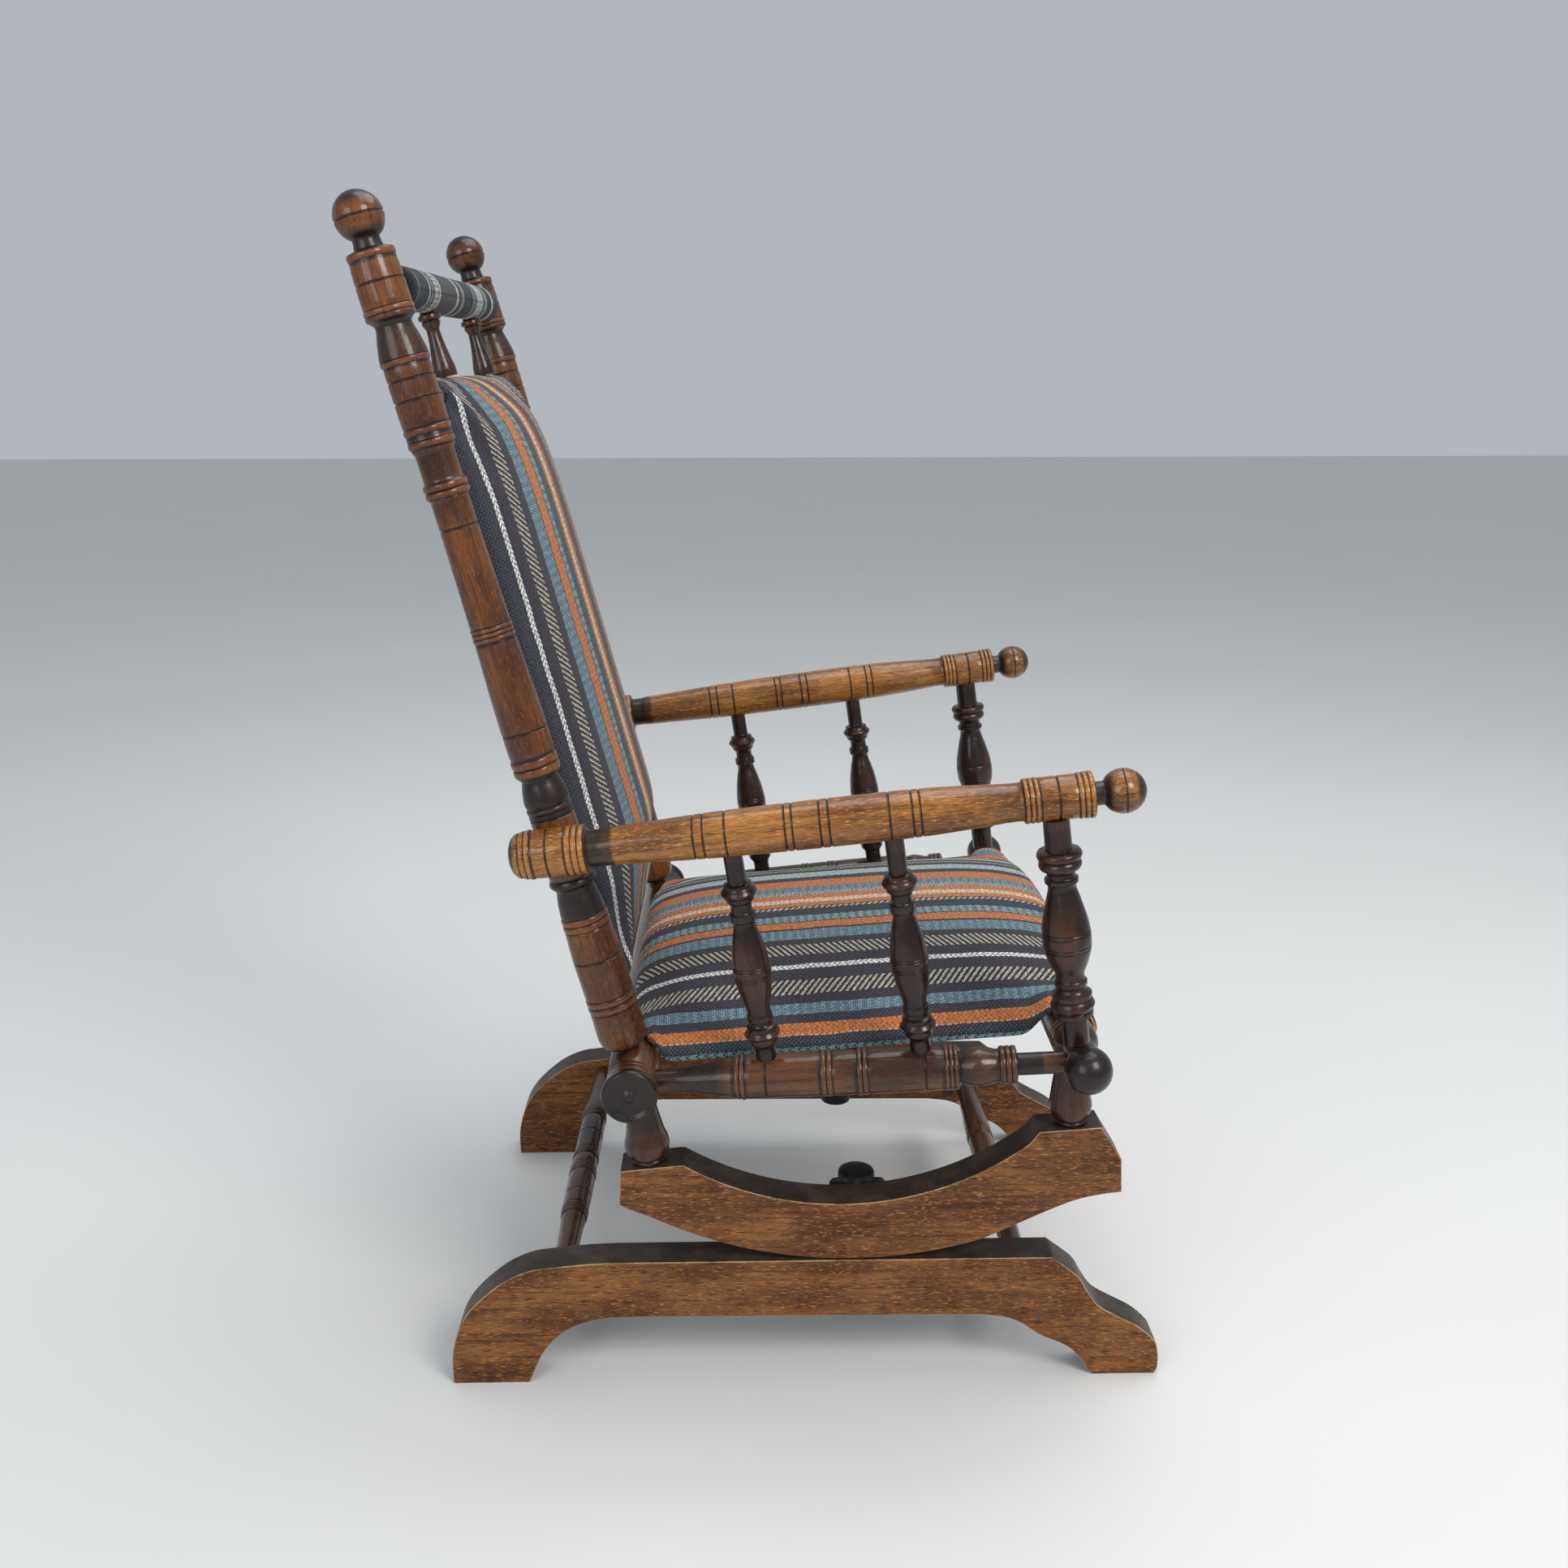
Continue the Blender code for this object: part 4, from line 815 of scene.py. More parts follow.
def make_legs():
    for place, rail, rail_r, foot, wide, bottom_r in (
        ("rear", REAR_RAIL, REAR_RAIL_R, (0.1444, 0.2249), 0.0210, 0.0150),
        ("front", FRONT_RAIL, FRONT_RAIL_R, (-0.2454, 0.2597), 0.0197, 0.0143),
    ):
        for word, side in SIDES:
            first = Vector((side * LEG_X, rail.y, rail.z))
            last = spot(side * LEG_X, *foot)
            length = (first - last).length
            points = [
                (rail_r - 0.008, 0.0118), (rail_r + 0.002, 0.0119), (rail_r + 0.012, 0.0127),
                (length - 0.030, 0.0178), (length - 0.017, wide), (length - 0.010, wide - 0.0015),
                (length - 0.006, bottom_r + 0.0020), (length - 0.0045, bottom_r + 0.0004),
                (length - 0.003, bottom_r + 0.0012), (length - 0.001, bottom_r + 0.0006),
                (length + 0.004, bottom_r - 0.001),
            ]
            features = [groove(length - 0.005, 0.0014, 0.0006)]
            leg = lathe(f"leg_turned_{place}_{word}", points, features, first, last, step=0.003,
                        narrow_shade=0.55)
            dress(leg, DARK_WOOD, "dark_wood", "rocking_frame", f"leg_{place}_{word}")


def make_stretchers():
    half_x = BASE_INNER_X + 0.004
    middle = half_x
    rear = [(0, 0.0105), (0.060, 0.0114), (0.100, 0.0135), (0.150, 0.0140), (half_x, 0.0134)]
    rear_features = [
        beads(middle + 0.078, middle + 0.092, 3), groove(middle + 0.043),
        beads(middle - 0.007, middle + 0.003, 2, 0.0014), beads(middle - 0.041, middle - 0.027, 3),
        groove(middle - 0.080), beads(middle - 0.120, middle - 0.106, 3),
    ]
    front = [(0, 0.0105), (0.110, 0.0125), (0.150, 0.0140), (half_x, 0.0138)]
    front_features = [beads(middle - 0.040, middle - 0.028, 2), beads(middle + 0.028, middle + 0.040, 2)]
    for name, half, features, y in (
        ("rear", rear, rear_features, 0.2300),
        ("front", front, front_features, -0.2030),
    ):
        points = half + [(2 * half_x - t, r) for t, r in reversed(half[:-1])]
        stretcher = lathe(f"base_stretcher_turned_{name}", points, features,
                          *rail_ends(spot(0, y, STRETCHER_Z), half_x), step=0.006, segments=32)
        dress(stretcher, RAIL_WOOD, "dark_wood", "base", f"base_stretcher_{name}")


def make_small_rails():
    for name, centre, r, half_x, body in (
        ("back_panel_top_rail", PANEL_TOP_RAIL, 0.0110, 0.2080, "rocking_frame"),
        ("back_panel_bottom_rail", PANEL_BOTTOM_RAIL, 0.0110, 0.2080, "rocking_frame"),
        ("head_roll_core", HEAD_ROLL, 0.0105, 0.2080, "rocking_frame"),
        ("seat_cross_rail", spot(0, ROLL_Y, ROLL_BOTTOM + ROLL_R / 2), 0.0090, 0.2340, "rolling_link"),
    ):
        points = [(0, r - 0.001), (0.001, r), (2 * half_x - 0.001, r), (2 * half_x, r - 0.001)]
        rail = lathe(name + "_turned", points, [], *rail_ends(centre, half_x), step=0.02, segments=28)
        dress(rail, DARK_WOOD, "dark_wood", body, name)
    for word, side in SIDES:
        first, last = HEAD_ROLL + Vector((side * 0.1, 0, 0)), PANEL_TOP_RAIL + Vector((side * 0.1, 0, 0))
        length = (first - last).length
        points = [
            (0.0155, 0.0072), (0.0180, 0.0078), (0.0194, 0.0098), (0.0222, 0.0100), (0.0240, 0.0084),
            (0.0265, 0.0080), (0.0320, 0.0057), (0.0400, 0.0062), (length - 0.031, 0.0088),
            (length - 0.022, 0.0104), (length - 0.0165, 0.0104),
        ]
        features = [groove(0.0243, 0.0016)]
        spindle = lathe(f"crest_spindle_turned_{word}", points, features, first, last, step=0.003,
                        segments=28, narrow_shade=0.4)
        dress(spindle, DARK_WOOD, "dark_wood", "rocking_frame", f"crest_spindle_{word}")


# ---------------------------------------------------------------- boards


def smooth_run(points, per_span=6):
    """A Catmull-Rom curve through the points, which keeps them all."""
    run = []
    for i in range(len(points) - 1):
        before, start = points[max(i - 1, 0)], points[i]
        end, after = points[i + 1], points[min(i + 2, len(points) - 1)]
        for k in range(per_span):
            t = k / per_span
            weights = (
                (-t**3 + 2 * t**2 - t) / 2,
                (3 * t**3 - 5 * t**2 + 2) / 2,
                (-3 * t**3 + 4 * t**2 + t) / 2,
                (t**3 - t**2) / 2,
            )
            spots = (before, start, end, after)
            run.append(tuple(sum(w * s[axis] for w, s in zip(weights, spots)) for axis in (0, 1)))
    run.append(points[-1])
    return run


def arc(centre_y, centre_z, radius, start_angle, end_angle, spans):
    points = []
    for i in range(spans + 1):
        angle = math.radians(start_angle + (end_angle - start_angle) * i / spans)
        points.append((centre_y + radius * math.sin(angle), centre_z - radius * math.cos(angle)))
    return points


def board(name, outline, thickness, centre_x, edge=0.0016):
    """A board standing on edge with rounded arrises, from its outline in y and z."""
    flat = bpy.data.curves.new(name + "_outline", "CURVE")
    flat.dimensions = "2D"
    flat.fill_mode = "BOTH"
    flat.extrude = thickness / 2 - edge
    flat.bevel_depth = edge
    flat.bevel_resolution = 2
    flat.offset = -edge
    spline = flat.splines.new("POLY")
    spline.points.add(len(outline) - 1)
    for point, (y, z) in zip(spline.points, outline):
        point.co = (y - ORIGIN_Y, z, 0, 1)
    spline.use_cyclic_u = True
    drawn = link(name + "_outline", flat)
    mesh = bpy.data.meshes.new_from_object(drawn.evaluated_get(bpy.context.evaluated_depsgraph_get()))
    bpy.data.objects.remove(drawn)
    shape = bmesh.new()
    shape.from_mesh(mesh)
    bmesh.ops.remove_doubles(shape, verts=shape.verts, dist=0.00001)
    upright = Matrix(((0, 0, 1, centre_x), (1, 0, 0, 0), (0, 1, 0, 0), (0, 0, 0, 1)))
    bmesh.ops.transform(shape, verts=shape.verts, matrix=upright)
    bmesh.ops.recalc_face_normals(shape, faces=shape.faces)
    shape.to_mesh(mesh)
    shape.free()
    mesh.name = name
    obj = link(name, mesh)
    smooth(obj, 40)
    weighted = obj.modifiers.new("Flat faces", "WEIGHTED_NORMAL")
    weighted.weight = 100
    weighted.keep_sharp = True
    return obj


def base_outline():
    front_toe = [
        (-0.2306, BASE_TOP), (-0.2489, 0.1139), (-0.2575, 0.1058), (-0.2653, 0.0922), (-0.2768, 0.0758),
        (-0.2940, 0.0648), (-0.3161, 0.0521), (-0.3312, 0.0382), (-0.3361, 0.0285), (-0.3379, 0.0091),
        (-0.3347, 0.0),
    ]
    arch = [
        (-0.2750, 0.0), (-0.2687, 0.0075), (-0.2608, 0.0201), (-0.2470, 0.0327), (-0.2228, 0.0441),
        (-0.2057, 0.0567), (-0.1900, 0.0637), (-0.1720, 0.0665), (-0.1450, 0.0677), (-0.0054, 0.0688),
        (0.1444, 0.0699), (0.1620, 0.0699), (0.1788, 0.0696),
        (0.2003, 0.0667), (0.2196, 0.0597), (0.2352, 0.0482), (0.2473, 0.0337), (0.2535, 0.0220),
        (0.2629, 0.0),
    ]
    heel = [
        (0.3349, 0.0), (0.3336, 0.0351), (0.3198, 0.0731), (0.2892, 0.1045), (0.2609, 0.1198),
        (0.2332, 0.1244), (0.2044, BASE_TOP - 0.0010),
    ]
    return smooth_run(front_toe, 4) + smooth_run(arch, 4) + smooth_run(heel, 5) + [(0.1800, BASE_TOP)]


def rocker_outline():
    rolling = arc(ROLL_Y, ROLL_CENTRE_Z, ROLL_R, -18, 27.5, 44)
    rear_end = [(0.1636, 0.1829), (0.1722, 0.1879), (0.1701, 0.2222), (0.1160, 0.2277)]
    dip = arc(-0.0336, 0.4615, 0.2755, 31.9, -38.5, 40)
    front_top = [(-0.2136, 0.2574), (-0.2704, 0.2614), (-0.2906, 0.2277)]
    front_tip = [
        (-0.2926, 0.1947), (-0.2755, 0.1927), (-0.2549, 0.1883), (-0.2322, 0.1796), (-0.1868, 0.1580),
    ]
    return rear_end + dip + front_top + smooth_run(front_tip, 4) + rolling


def make_boards():
    for word, side in SIDES:
        foot_x, rocker_x = side * (BASE_OUTER_X - BASE_THICK / 2), side * (ROCKER_OUTER_X - ROCKER_THICK / 2)
        foot = board(f"base_board_{word}", base_outline(), BASE_THICK, foot_x)
        dress(foot, BOARD_WOOD, "base_wood", "base", f"base_side_{word}")
        rocker = board(f"rocker_board_{word}", rocker_outline(), ROCKER_THICK, rocker_x)
        dress(rocker, BOARD_WOOD, "base_wood", "rocking_frame", f"rocker_{word}")


# ---------------------------------------------------------------- upholstery


def soft_block(name, half, rounding, counts, place):
    """A closed pad: a box with an elliptic rounding, on a grid, whose points place(x, y, z) sets out.

    Its attributes across and along are distances over the cloth from the middle of its upper face.
    """
    spots, index = [], {}

    def vertex(lattice):
        if lattice not in index:
            index[lattice] = len(spots)
            spots.append(lattice)
        return index[lattice]

    faces = []
    for axis in range(3):
        a, b = (axis + 1) % 3, (axis + 2) % 3
        for end in (0, counts[axis]):
            for i in range(counts[a]):
                for j in range(counts[b]):
                    corners = []
                    for di, dj in ((0, 0), (1, 0), (1, 1), (0, 1)):
                        lattice = [0, 0, 0]
                        lattice[axis], lattice[a], lattice[b] = end, i + di, j + dj
                        corners.append(vertex(tuple(lattice)))
                    faces.append(tuple(corners if end else reversed(corners)))
    inner = [h - r for h, r in zip(half, rounding)]
    verts = []
    for lattice in spots:
        point = [h * math.sin((2 * i / n - 1) * math.pi / 2) for h, i, n in zip(half, lattice, counts)]
        core = [min(max(p, -c), c) for p, c in zip(point, inner)]
        out = Vector([(p - c) / r for p, c, r in zip(point, core, rounding)])
        if out.length > 1e-6:
            point = [c + r * o for c, r, o in zip(core, rounding, out.normalized())]
        verts.append(Vector(place(*point)))

    def distance(lattice, axis, known):
        if lattice not in known:
            step = list(lattice)
            if lattice[axis] in (0, counts[axis]) and lattice[2] < counts[2]:
                step[2] += 1
            else:
                step[axis] += 1 if 2 * lattice[axis] < counts[axis] else -1
            step = tuple(step)
            known[lattice] = distance(step, axis, known) + (verts[index[lattice]] - verts[index[step]]).length
        return known[lattice]

    obj = new_object(name, verts, faces)
    obj.data.shade_smooth()
    for axis, attribute in ((0, "across"), (1, "along")):
        known = {lattice: 0.0 for lattice in spots if 2 * lattice[axis] == counts[axis]}
        values = []
        for lattice in spots:
            values.append(math.copysign(distance(lattice, axis, known), 2 * lattice[axis] - counts[axis]))
        add_values(obj, attribute, values)
    return obj


def swell(obj, pinned, pressure, cap):
    """Blows the pad up as cloth. Pinned points are held, and no point moves further than cap."""
    start = [v.co.copy() for v in obj.data.vertices]
    group = obj.vertex_groups.new(name="held")
    group.add([i for i, co in enumerate(start) if pinned(co)], 1.0, "REPLACE")
    cloth = obj.modifiers.new("Cloth", "CLOTH")
    settings = cloth.settings
    settings.quality = 5
    settings.mass = 0.3
    settings.use_pressure = True
    settings.uniform_pressure_force = pressure
    settings.vertex_group_mass = "held"
    settings.effector_weights.gravity = 0.0
    settings.tension_stiffness = 20
    settings.compression_stiffness = 20
    settings.bending_stiffness = 1.0
    for number in range(1, 21):
        bpy.context.scene.frame_set(number)
    blown = obj.evaluated_get(bpy.context.evaluated_depsgraph_get()).to_mesh()
    ends = [v.co.copy() for v in blown.vertices]
    obj.modifiers.remove(cloth)
    bpy.context.scene.frame_set(1)
    for vertex, before, after in zip(obj.data.vertices, start, ends):
        move = after - before
        if move.length > cap:
            move = move.normalized() * cap
        vertex.co = before + move
    obj.vertex_groups.clear()


def subdivide(obj, levels=1):
    modifier = obj.modifiers.new("Smooth", "SUBSURF")
    modifier.levels = levels
    modifier.render_levels = levels


def web_height(y):
    """The middle of the webbing, which lies on top of the front and rear rails."""
    rear_top = REAR_RAIL.z + REAR_RAIL_R + STRAP_RISE
    front_top = FRONT_RAIL.z + FRONT_RAIL_R + STRAP_RISE
    share = (REAR_RAIL.y - y) / (REAR_RAIL.y - FRONT_RAIL.y)
    return rear_top + (front_top - rear_top) * share


SEAT_HALF = (0.2245, 0.2030, 0.0470)
SEAT_ROUNDING = (0.0190, 0.0190, 0.0330)
SEAT_MIDDLE_Y = -0.0635 - ORIGIN_Y
SEAT_LOW_EDGE = 0.14
SEAT_FRONT_Z = 0.3475


def seat_place(x, y, z):
    """The seat's dome: highest along the middle, thin at the sides, and folded down over the front rail."""
    u, v = x / SEAT_HALF[0], y / SEAT_HALF[1]
    world_y = SEAT_MIDDLE_Y + y + 0.0230 * (1 - u**4) * max((v + 1) / 2, 0.0) ** 2
    ends = 0.40 * v**6 if v > 0 else 0.50 * v**4
    top = web_height(world_y) + 0.0475 * (1 - ends) - 1.15 * x * x * (1 - ends)
    behind_front = min(1.0, max(0.0, (world_y - FRONT_RAIL.y - 0.020) / 0.020))
    before_rear = min(1.0, max(0.3, (REAR_RAIL.y - 0.0150 - world_y) / 0.015))
    skirt = 0.0230 * min(1.0, max(0.0, (abs(u) - 0.84) / 0.10)) * behind_front * before_rear
    bottom = web_height(world_y) + 0.0020 - skirt
    over = FRONT_RAIL.y - world_y
    if over > 0:
        bottom = min(bottom, SEAT_FRONT_Z + 1.25 * math.sqrt(max(0.0, 0.0225**2 - over**2)))
    # The lower edge is folded tighter than the upper one.
    low = z + SEAT_HALF[2]
    fold = SEAT_ROUNDING[2]
    low = low * SEAT_LOW_EDGE if low < fold else low - (1 - SEAT_LOW_EDGE) * fold
    share = low / (2 * SEAT_HALF[2] - (1 - SEAT_LOW_EDGE) * fold)
    pull = (0.008 + 0.010 * u * u) * share * share * max(-v, 0.0) ** 6
    return (x, world_y + pull, bottom + (max(top, bottom + 0.008) - bottom) * share)


def make_seat():
    seat = soft_block("seat_cushion_cloth", SEAT_HALF, SEAT_ROUNDING, (60, 56, 16), seat_place)
    swell(seat, lambda co: co.z < web_height(co.y) + 0.006, 3.0, 0.0045)
    subdivide(seat)
    dress(seat, SEAT_CLOTH, "fabric", "rocking_frame", "seat_cushion")


PAD_UP = (PANEL_TOP_RAIL - PANEL_BOTTOM_RAIL).normalized()
PAD_FRONT = Vector((0, -PAD_UP.z, PAD_UP.y))
PAD_LOW = -0.0135
PAD_HIGH = (PANEL_TOP_RAIL - PANEL_BOTTOM_RAIL).length + 0.0190
PAD_HALF = (0.1890, (PAD_HIGH - PAD_LOW) / 2, 0.0150)


def pad_place(x, y, z):
    u, v = x / PAD_HALF[0], y / PAD_HALF[1]
    rise = (PAD_HIGH + PAD_LOW) / 2 + y
    risen = min(max(rise / 0.11, 0.0), 1.0)
    full = (1 - u * u) * (1 - v**7 if v > 0 else risen * risen * (3 - 2 * risen))
    crown = 0.0120 + 0.0350 * full
    share = (z / PAD_HALF[2] + 1) / 2
    depth = -0.0155 + (crown + 0.0155) * share
    return PANEL_BOTTOM_RAIL + Vector((x, 0, 0)) + PAD_UP * rise + PAD_FRONT * depth


def make_back():
    pad = soft_block("back_pad_cloth", PAD_HALF, (0.0125, 0.0125, 0.0125), (48, 64, 12), pad_place)
    def behind(co):
        return (co - PANEL_BOTTOM_RAIL).dot(PAD_FRONT) < -0.008
    swell(pad, behind, 3.0, 0.005)
    subdivide(pad)
    dress(pad, BACK_CLOTH, "fabric", "rocking_frame", "back_pad")


def make_head_roll():
    half_x = 0.2028
    length = 2 * half_x
    half = [(0, 0.0112), (0.0006, 0.0140), (0.0030, 0.0160), (0.0090, 0.0169), (0.0500, 0.0171)]
    points = both_ends(half, length)
    roll = lathe("head_roll_cloth", points, [], *rail_ends(HEAD_ROLL, half_x), step=0.003, segments=56)
    heights = [v.co.z for v in roll.data.vertices]
    add_values(roll, "across", heights)
    turns = [math.atan2(v.co.y, v.co.x) * 0.017 for v in roll.data.vertices]
    add_values(roll, "along", turns)
    dress(roll, ROLL_CLOTH, "roll_fabric", "rocking_frame", "head_roll_cover")


def strip(verts, faces, path, half_width, thick, sideways):
    """Adds a flat strap that follows a path of points."""
    base = len(verts)
    for point in path:
        for out, up in ((-1, -1), (1, -1), (1, 1), (-1, 1)):
            verts.append(point + sideways * half_width * out + Vector((0, 0, thick / 2 * up)))
    faces.extend(tuple(base + i for i in face) for face in tube_faces(len(path), 4))


def make_webbing():
    """Jute straps, woven under and over each other. The long ones lie on the front and rear rails."""
    verts, faces = [], []
    last_x, column_step, rear_y, row_step = 0.156, 0.052, 0.095, 0.056
    bend, half_width, thick = 0.0007, 0.0240, 0.0010
    columns = [-last_x + column_step * i for i in range(7)]
    rows = [rear_y - row_step * i for i in range(5)]
    for i, x in enumerate(columns):
        path = []
        for k in range(61):
            y = REAR_RAIL.y + (FRONT_RAIL.y - REAR_RAIL.y) * k / 60
            phase = (rear_y - ORIGIN_Y - y) / row_step * math.pi
            wave = bend * math.cos(phase) * (1 if i % 2 else -1) if 0.04 < k / 60 < 0.96 else 0.0
            path.append(Vector((x, y, web_height(y) + wave)))
        strip(verts, faces, path, half_width, thick, Vector((1, 0, 0)))
    for j, y in enumerate(rows):
        path = []
        for k in range(49):
            x = -0.1830 + 0.366 * k / 48
            phase = (x + last_x) / column_step * math.pi
            wave = bend * math.cos(phase) * (1 if j % 2 else -1)
            path.append(Vector((x, y - ORIGIN_Y, web_height(y - ORIGIN_Y) + wave)))
        strip(verts, faces, path, half_width, thick, Vector((0, 1, 0)))
    webbing = new_object("seat_webbing_straps", verts, faces)
    dress(webbing, WEBBING, "webbing", "rocking_frame", "seat_webbing")


# ---------------------------------------------------------------- springs and iron


def rounded_plate(name, centre, size, edge):
    shape = bmesh.new()
    bmesh.ops.create_cube(shape, size=1.0, matrix=Matrix.Translation(centre) @ Matrix.Diagonal((*size, 1.0)))
    corners = [e for e in shape.edges if abs(e.verts[0].co.x - e.verts[1].co.x) > size[0] / 2]
    bmesh.ops.bevel(shape, geom=corners, offset=size[2] * 0.42, segments=6, profile=0.5, affect="EDGES")
    rims = [e for e in shape.edges if abs(e.verts[0].co.x - e.verts[1].co.x) < 1e-6]
    bmesh.ops.bevel(shape, geom=rims, offset=edge, segments=2, profile=0.5, affect="EDGES")
    mesh = bpy.data.meshes.new(name)
    shape.to_mesh(mesh)
    shape.free()
    obj = link(name, mesh)
    smooth(obj, 40)
    return obj


def join(obj, other):
    """Adds another object's mesh to obj's, in the row frame."""
    shape = bmesh.new()
    for source in (obj, other):
        copy = source.data.copy()
        copy.transform(source.matrix_world)
        shape.from_mesh(copy)
    obj.matrix_world = Matrix.Identity(4)
    shape.to_mesh(obj.data)
    shape.free()
    bpy.data.objects.remove(other)


def make_brackets():
    lug_inner = 0.1912
    cup_deep = 0.0140
    for word, side in SIDES:
        for level, host_x, cup_low, opening, body in (
            ("lower", BASE_INNER_X, 0.0800, 1, "base"),
            ("upper", ROCKER_INNER_X, 0.1760, -1, "rocking_frame"),
        ):
            name = f"spring_bracket_{level}_{word}"
            thick = host_x - 0.0003 - lug_inner
            middle_z = cup_low + cup_deep / 2
            centre = spot(side * (lug_inner + thick / 2), SPRING_Y, middle_z)
            size, edge = (thick, 0.0538, 0.0158), min(0.0012, thick * 0.3)
            plate = rounded_plate(f"iron_{level}_bracket_{word}", centre, size, edge)
            low = spot(side * SPRING_X, SPRING_Y, cup_low)
            high = spot(side * SPRING_X, SPRING_Y, cup_low + cup_deep)
            floor, mouth = (low, high) if opening > 0 else (high, low)
            join(plate, cup_mesh(floor, mouth))
            dress(plate, IRON, "iron", body, name)
            for end_name, end in (("rear", 1), ("front", -1)):
                screw_y = SPRING_Y + end * 0.0210
                make_screw(f"{name}_screw_{end_name}", side, lug_inner, screw_y, middle_z, body)


def cup_mesh(floor, mouth):
    profile = [
        (0.0000, 0.0002), (0.0000, 0.0085), (0.0003, 0.0150), (0.0012, 0.0168), (0.0026, 0.0175),
        (0.0120, 0.0175), (0.0136, 0.0171), (0.0140, 0.0164), (0.0134, 0.0156), (0.0034, 0.0153),
        (0.0031, 0.0100), (0.0031, 0.0002),
    ]
    segments = 40
    direction = (mouth - floor).normalized()
    turn = direction.to_track_quat("Z", "Y")
    verts = [floor + turn @ Vector(point) for t, r in profile for point in ring(r, t, segments)]
    cup = new_object("cup", verts, tube_faces(len(profile), segments))
    smooth(cup, 50)
    return cup


def make_screw(name, side, plate_x, y, z, body):
    """A round-headed screw; its slot is not drawn. Its shank ends inside the wood."""
    head, tip = spot(side * (plate_x - 0.0022), y, z), spot(side * (plate_x + 0.012), y, z)
    points = [
        (0, 0.0003), (0.0002, 0.0018), (0.0007, 0.0031), (0.0013, 0.0039), (0.0021, 0.0042),
        (0.00225, 0.0020), (0.0130, 0.0018),
    ]
    screw = lathe("iron_" + name, points, [], head, tip, step=0.006, segments=24)
    dress(screw, IRON, "iron", body, name)


def make_arm_screws():
    post_axis = POST_TOP + (REAR_RAIL - POST_TOP).normalized() * 0.5239
    points = [
        (0, 0.0002), (0.0002, 0.0030), (0.0006, 0.0036), (0.0025, 0.0034), (0.0045, 0.0019), (0.0400, 0.0018),
    ]
    for word, side in SIDES:
        head = Vector((side * 0.2728, post_axis.y, post_axis.z))
        tip = Vector((side * 0.2290, post_axis.y, post_axis.z))
        screw = lathe(f"iron_arm_screw_{word}", points, [], head, tip, step=0.01, segments=20)
        dress(screw, IRON, "iron", "rocking_frame", f"arm_screw_{word}")


def make_springs():
    start_z, end_z = 0.0855, 0.1832
    turns, per_turn, wire_sides = 6, 40, 12
    coil_r, wire_r = 0.0124, 0.0020
    for word, side in SIDES:
        centre_x, centre_y = side * SPRING_X, SPRING_Y - ORIGIN_Y
        count = turns * per_turn
        path = []
        for i in range(count + 1):
            share = i / count
            closed = 0.5 - 0.5 * math.cos(math.pi * share)
            rise = 0.55 * share + 0.45 * closed
            turn = share * turns * math.tau
            path.append(Vector((centre_x + side * coil_r * math.cos(turn), centre_y + coil_r * math.sin(turn),
                                start_z + (end_z - start_z) * rise)))
        verts = []
        for i, point in enumerate(path):
            ahead = (path[min(i + 1, count)] - path[max(i - 1, 0)]).normalized()
            out = Vector((point.x - centre_x, point.y - centre_y, 0)).normalized()
            up = ahead.cross(out).normalized()
            for k in range(wire_sides):
                angle = math.tau * k / wire_sides
                verts.append(point + (out * math.cos(angle) + up * math.sin(angle)) * wire_r)
        coil = new_object(f"coil_spring_wire_{word}", verts, tube_faces(count + 1, wire_sides))
        coil.data.shade_smooth()
        coil.data.materials.append(IRON)
        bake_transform(coil)
        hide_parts(f"coil_spring_{word}")


# ---------------------------------------------------------------- camera, floor and light


def make_floor():
    graph = Graph("pale_floor")
    floor_colour = graph.mix(graph.noise(graph.node("TexCoord").outputs["Object"], (2, 2, 2)),
                             (0.70, 0.70, 0.69), (0.74, 0.74, 0.73))
    material = graph.finish(floor_colour, 0.75)
    floor = new_object("floor", [(-14, -14, 0), (14, -14, 0), (14, 14, 0), (-14, 14, 0)], [(0, 1, 2, 3)])
    floor.data.materials.append(material)


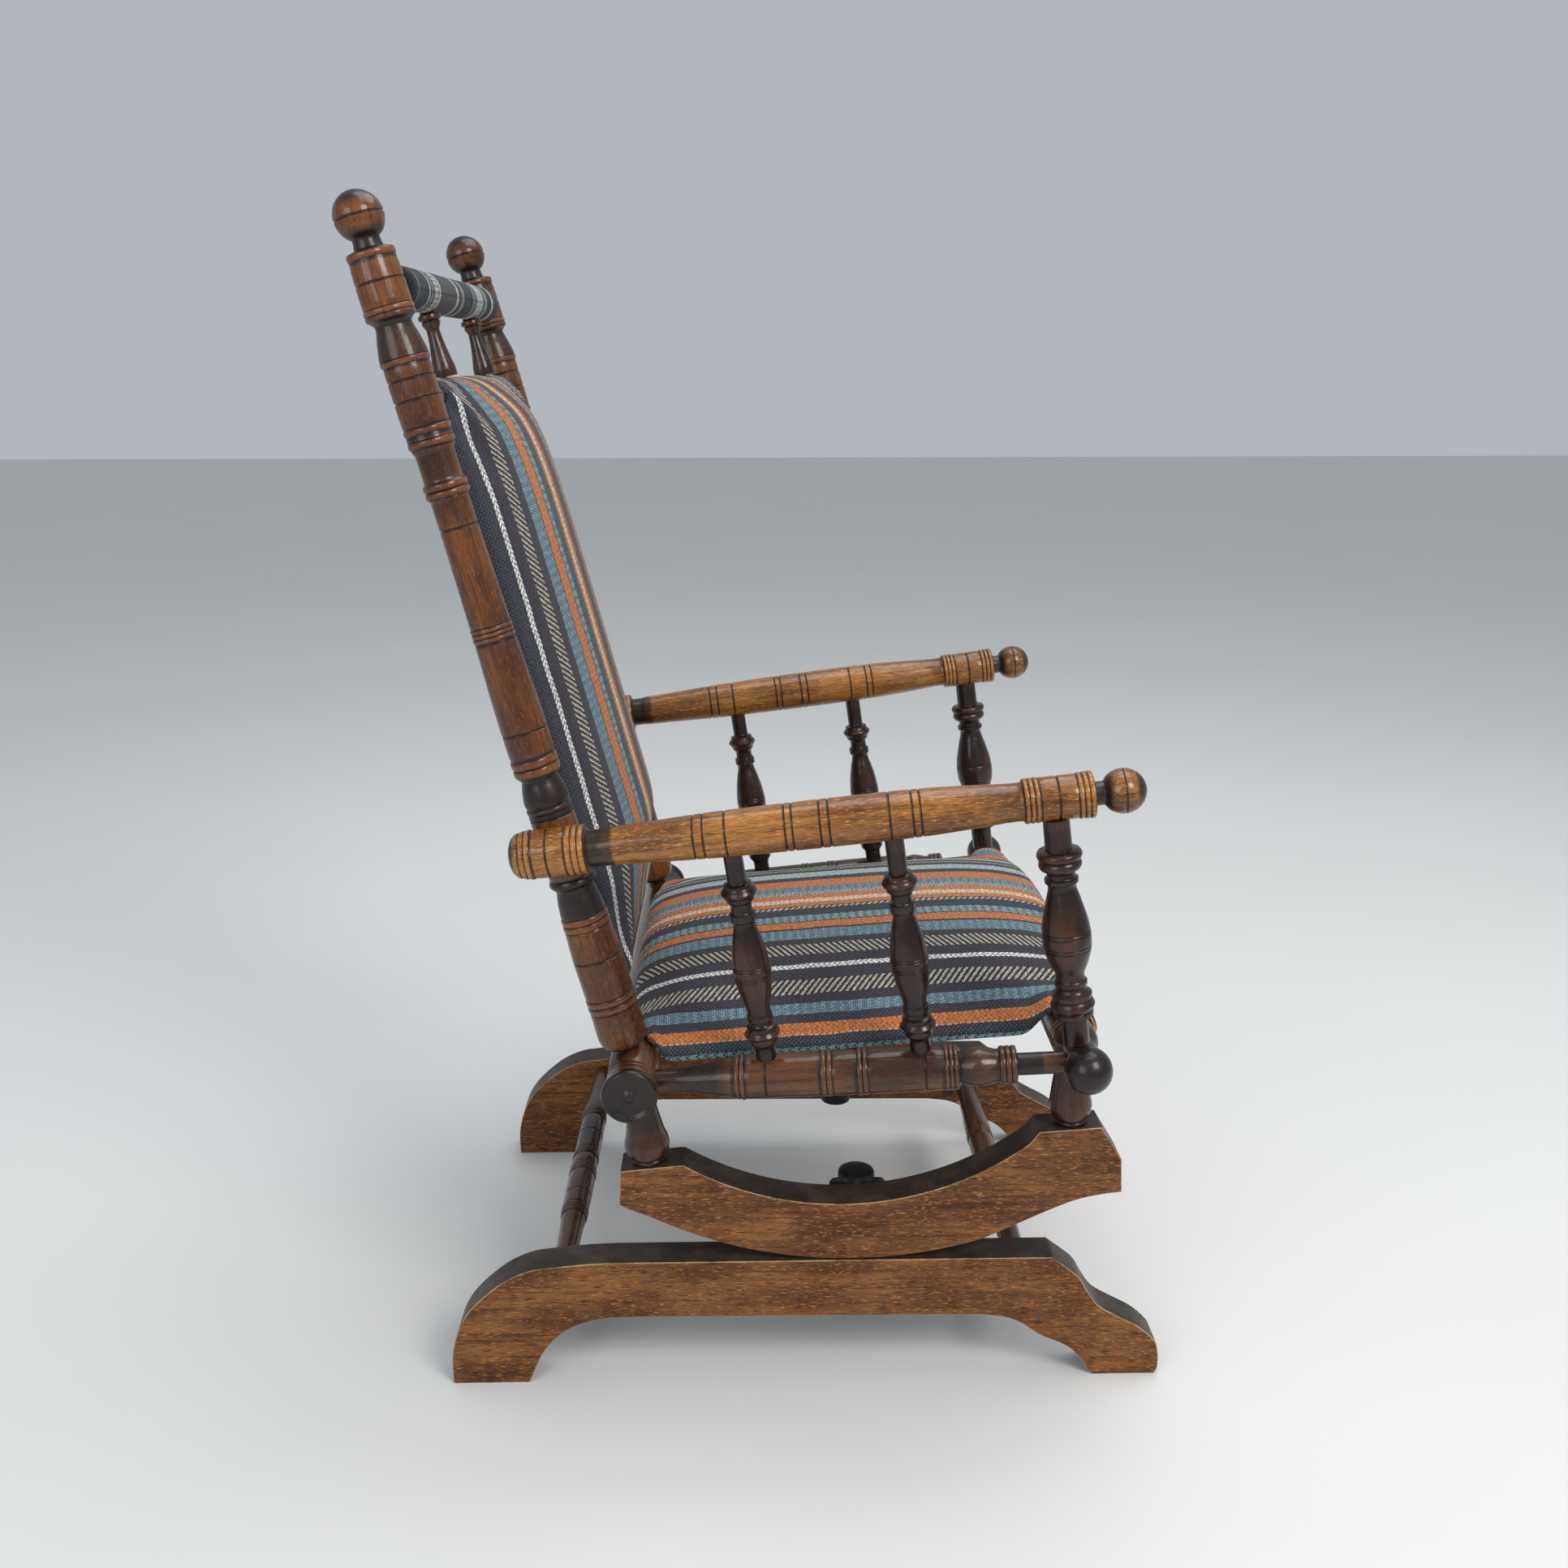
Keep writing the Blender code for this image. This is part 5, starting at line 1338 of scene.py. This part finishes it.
def make_camera():
    """The photograph's viewpoint: from the sitter's right, a little above the arms, looking slightly down."""
    pitch, yaw, roll = 0.274554, -0.0211726, 0.00111707
    ahead = Vector((math.cos(pitch) * math.cos(yaw), math.cos(pitch) * math.sin(yaw), -math.sin(pitch)))
    right = Vector((math.sin(yaw), -math.cos(yaw), 0))
    down = ahead.cross(right)
    level_right = right * math.cos(roll) + down * math.sin(roll)
    level_down = down * math.cos(roll) - right * math.sin(roll)
    data = bpy.data.cameras.new("camera")
    data.sensor_width = 36
    data.lens = 34.472
    camera = link("camera", data)
    turn = Matrix((level_right, -level_down, -ahead)).transposed()
    camera.matrix_world = Matrix.Translation(spot(-1.46026, 0.0460, 0.9360)) @ turn.to_4x4()
    bpy.context.scene.camera = camera


def area_light(name, position, target, size, power, colour):
    data = bpy.data.lights.new(name, "AREA")
    data.shape = "RECTANGLE"
    data.size, data.size_y = size
    data.energy = power
    data.color = colour
    light = link(name, data)
    light.location = position
    light.rotation_euler = (Vector(target) - Vector(position)).to_track_quat("-Z", "Y").to_euler()


def make_light():
    world = bpy.data.worlds.new("soft_room")
    world.use_nodes = True
    background = world.node_tree.nodes["Background"]
    background.inputs["Color"].default_value = (0.80, 0.86, 0.92, 1)
    background.inputs["Strength"].default_value = 0.55
    bpy.context.scene.world = world
    area_light("key", (-2.2, -1.6, 2.6), (0, 0, 0.5), (1.3, 1.3), 62, (1.0, 0.97, 0.92))
    area_light("fill", (-2.4, 1.8, 1.6), (0, 0, 0.5), (1.6, 1.6), 26, (0.92, 0.96, 1.0))
    area_light("top", (0.4, -0.4, 3.0), (0, 0, 0.4), (2.0, 2.0), 40, (1.0, 1.0, 1.0))
    bpy.context.scene.view_settings.view_transform = "Standard"


make_posts_and_arms()
make_spindles()
make_seat_rails()
make_legs()
make_stretchers()
make_small_rails()
make_boards()
make_seat()
make_back()
make_head_roll()
make_webbing()
make_brackets()
make_arm_screws()
make_springs()
make_floor()
make_camera()
make_light()

bpy.context.view_layer.update()
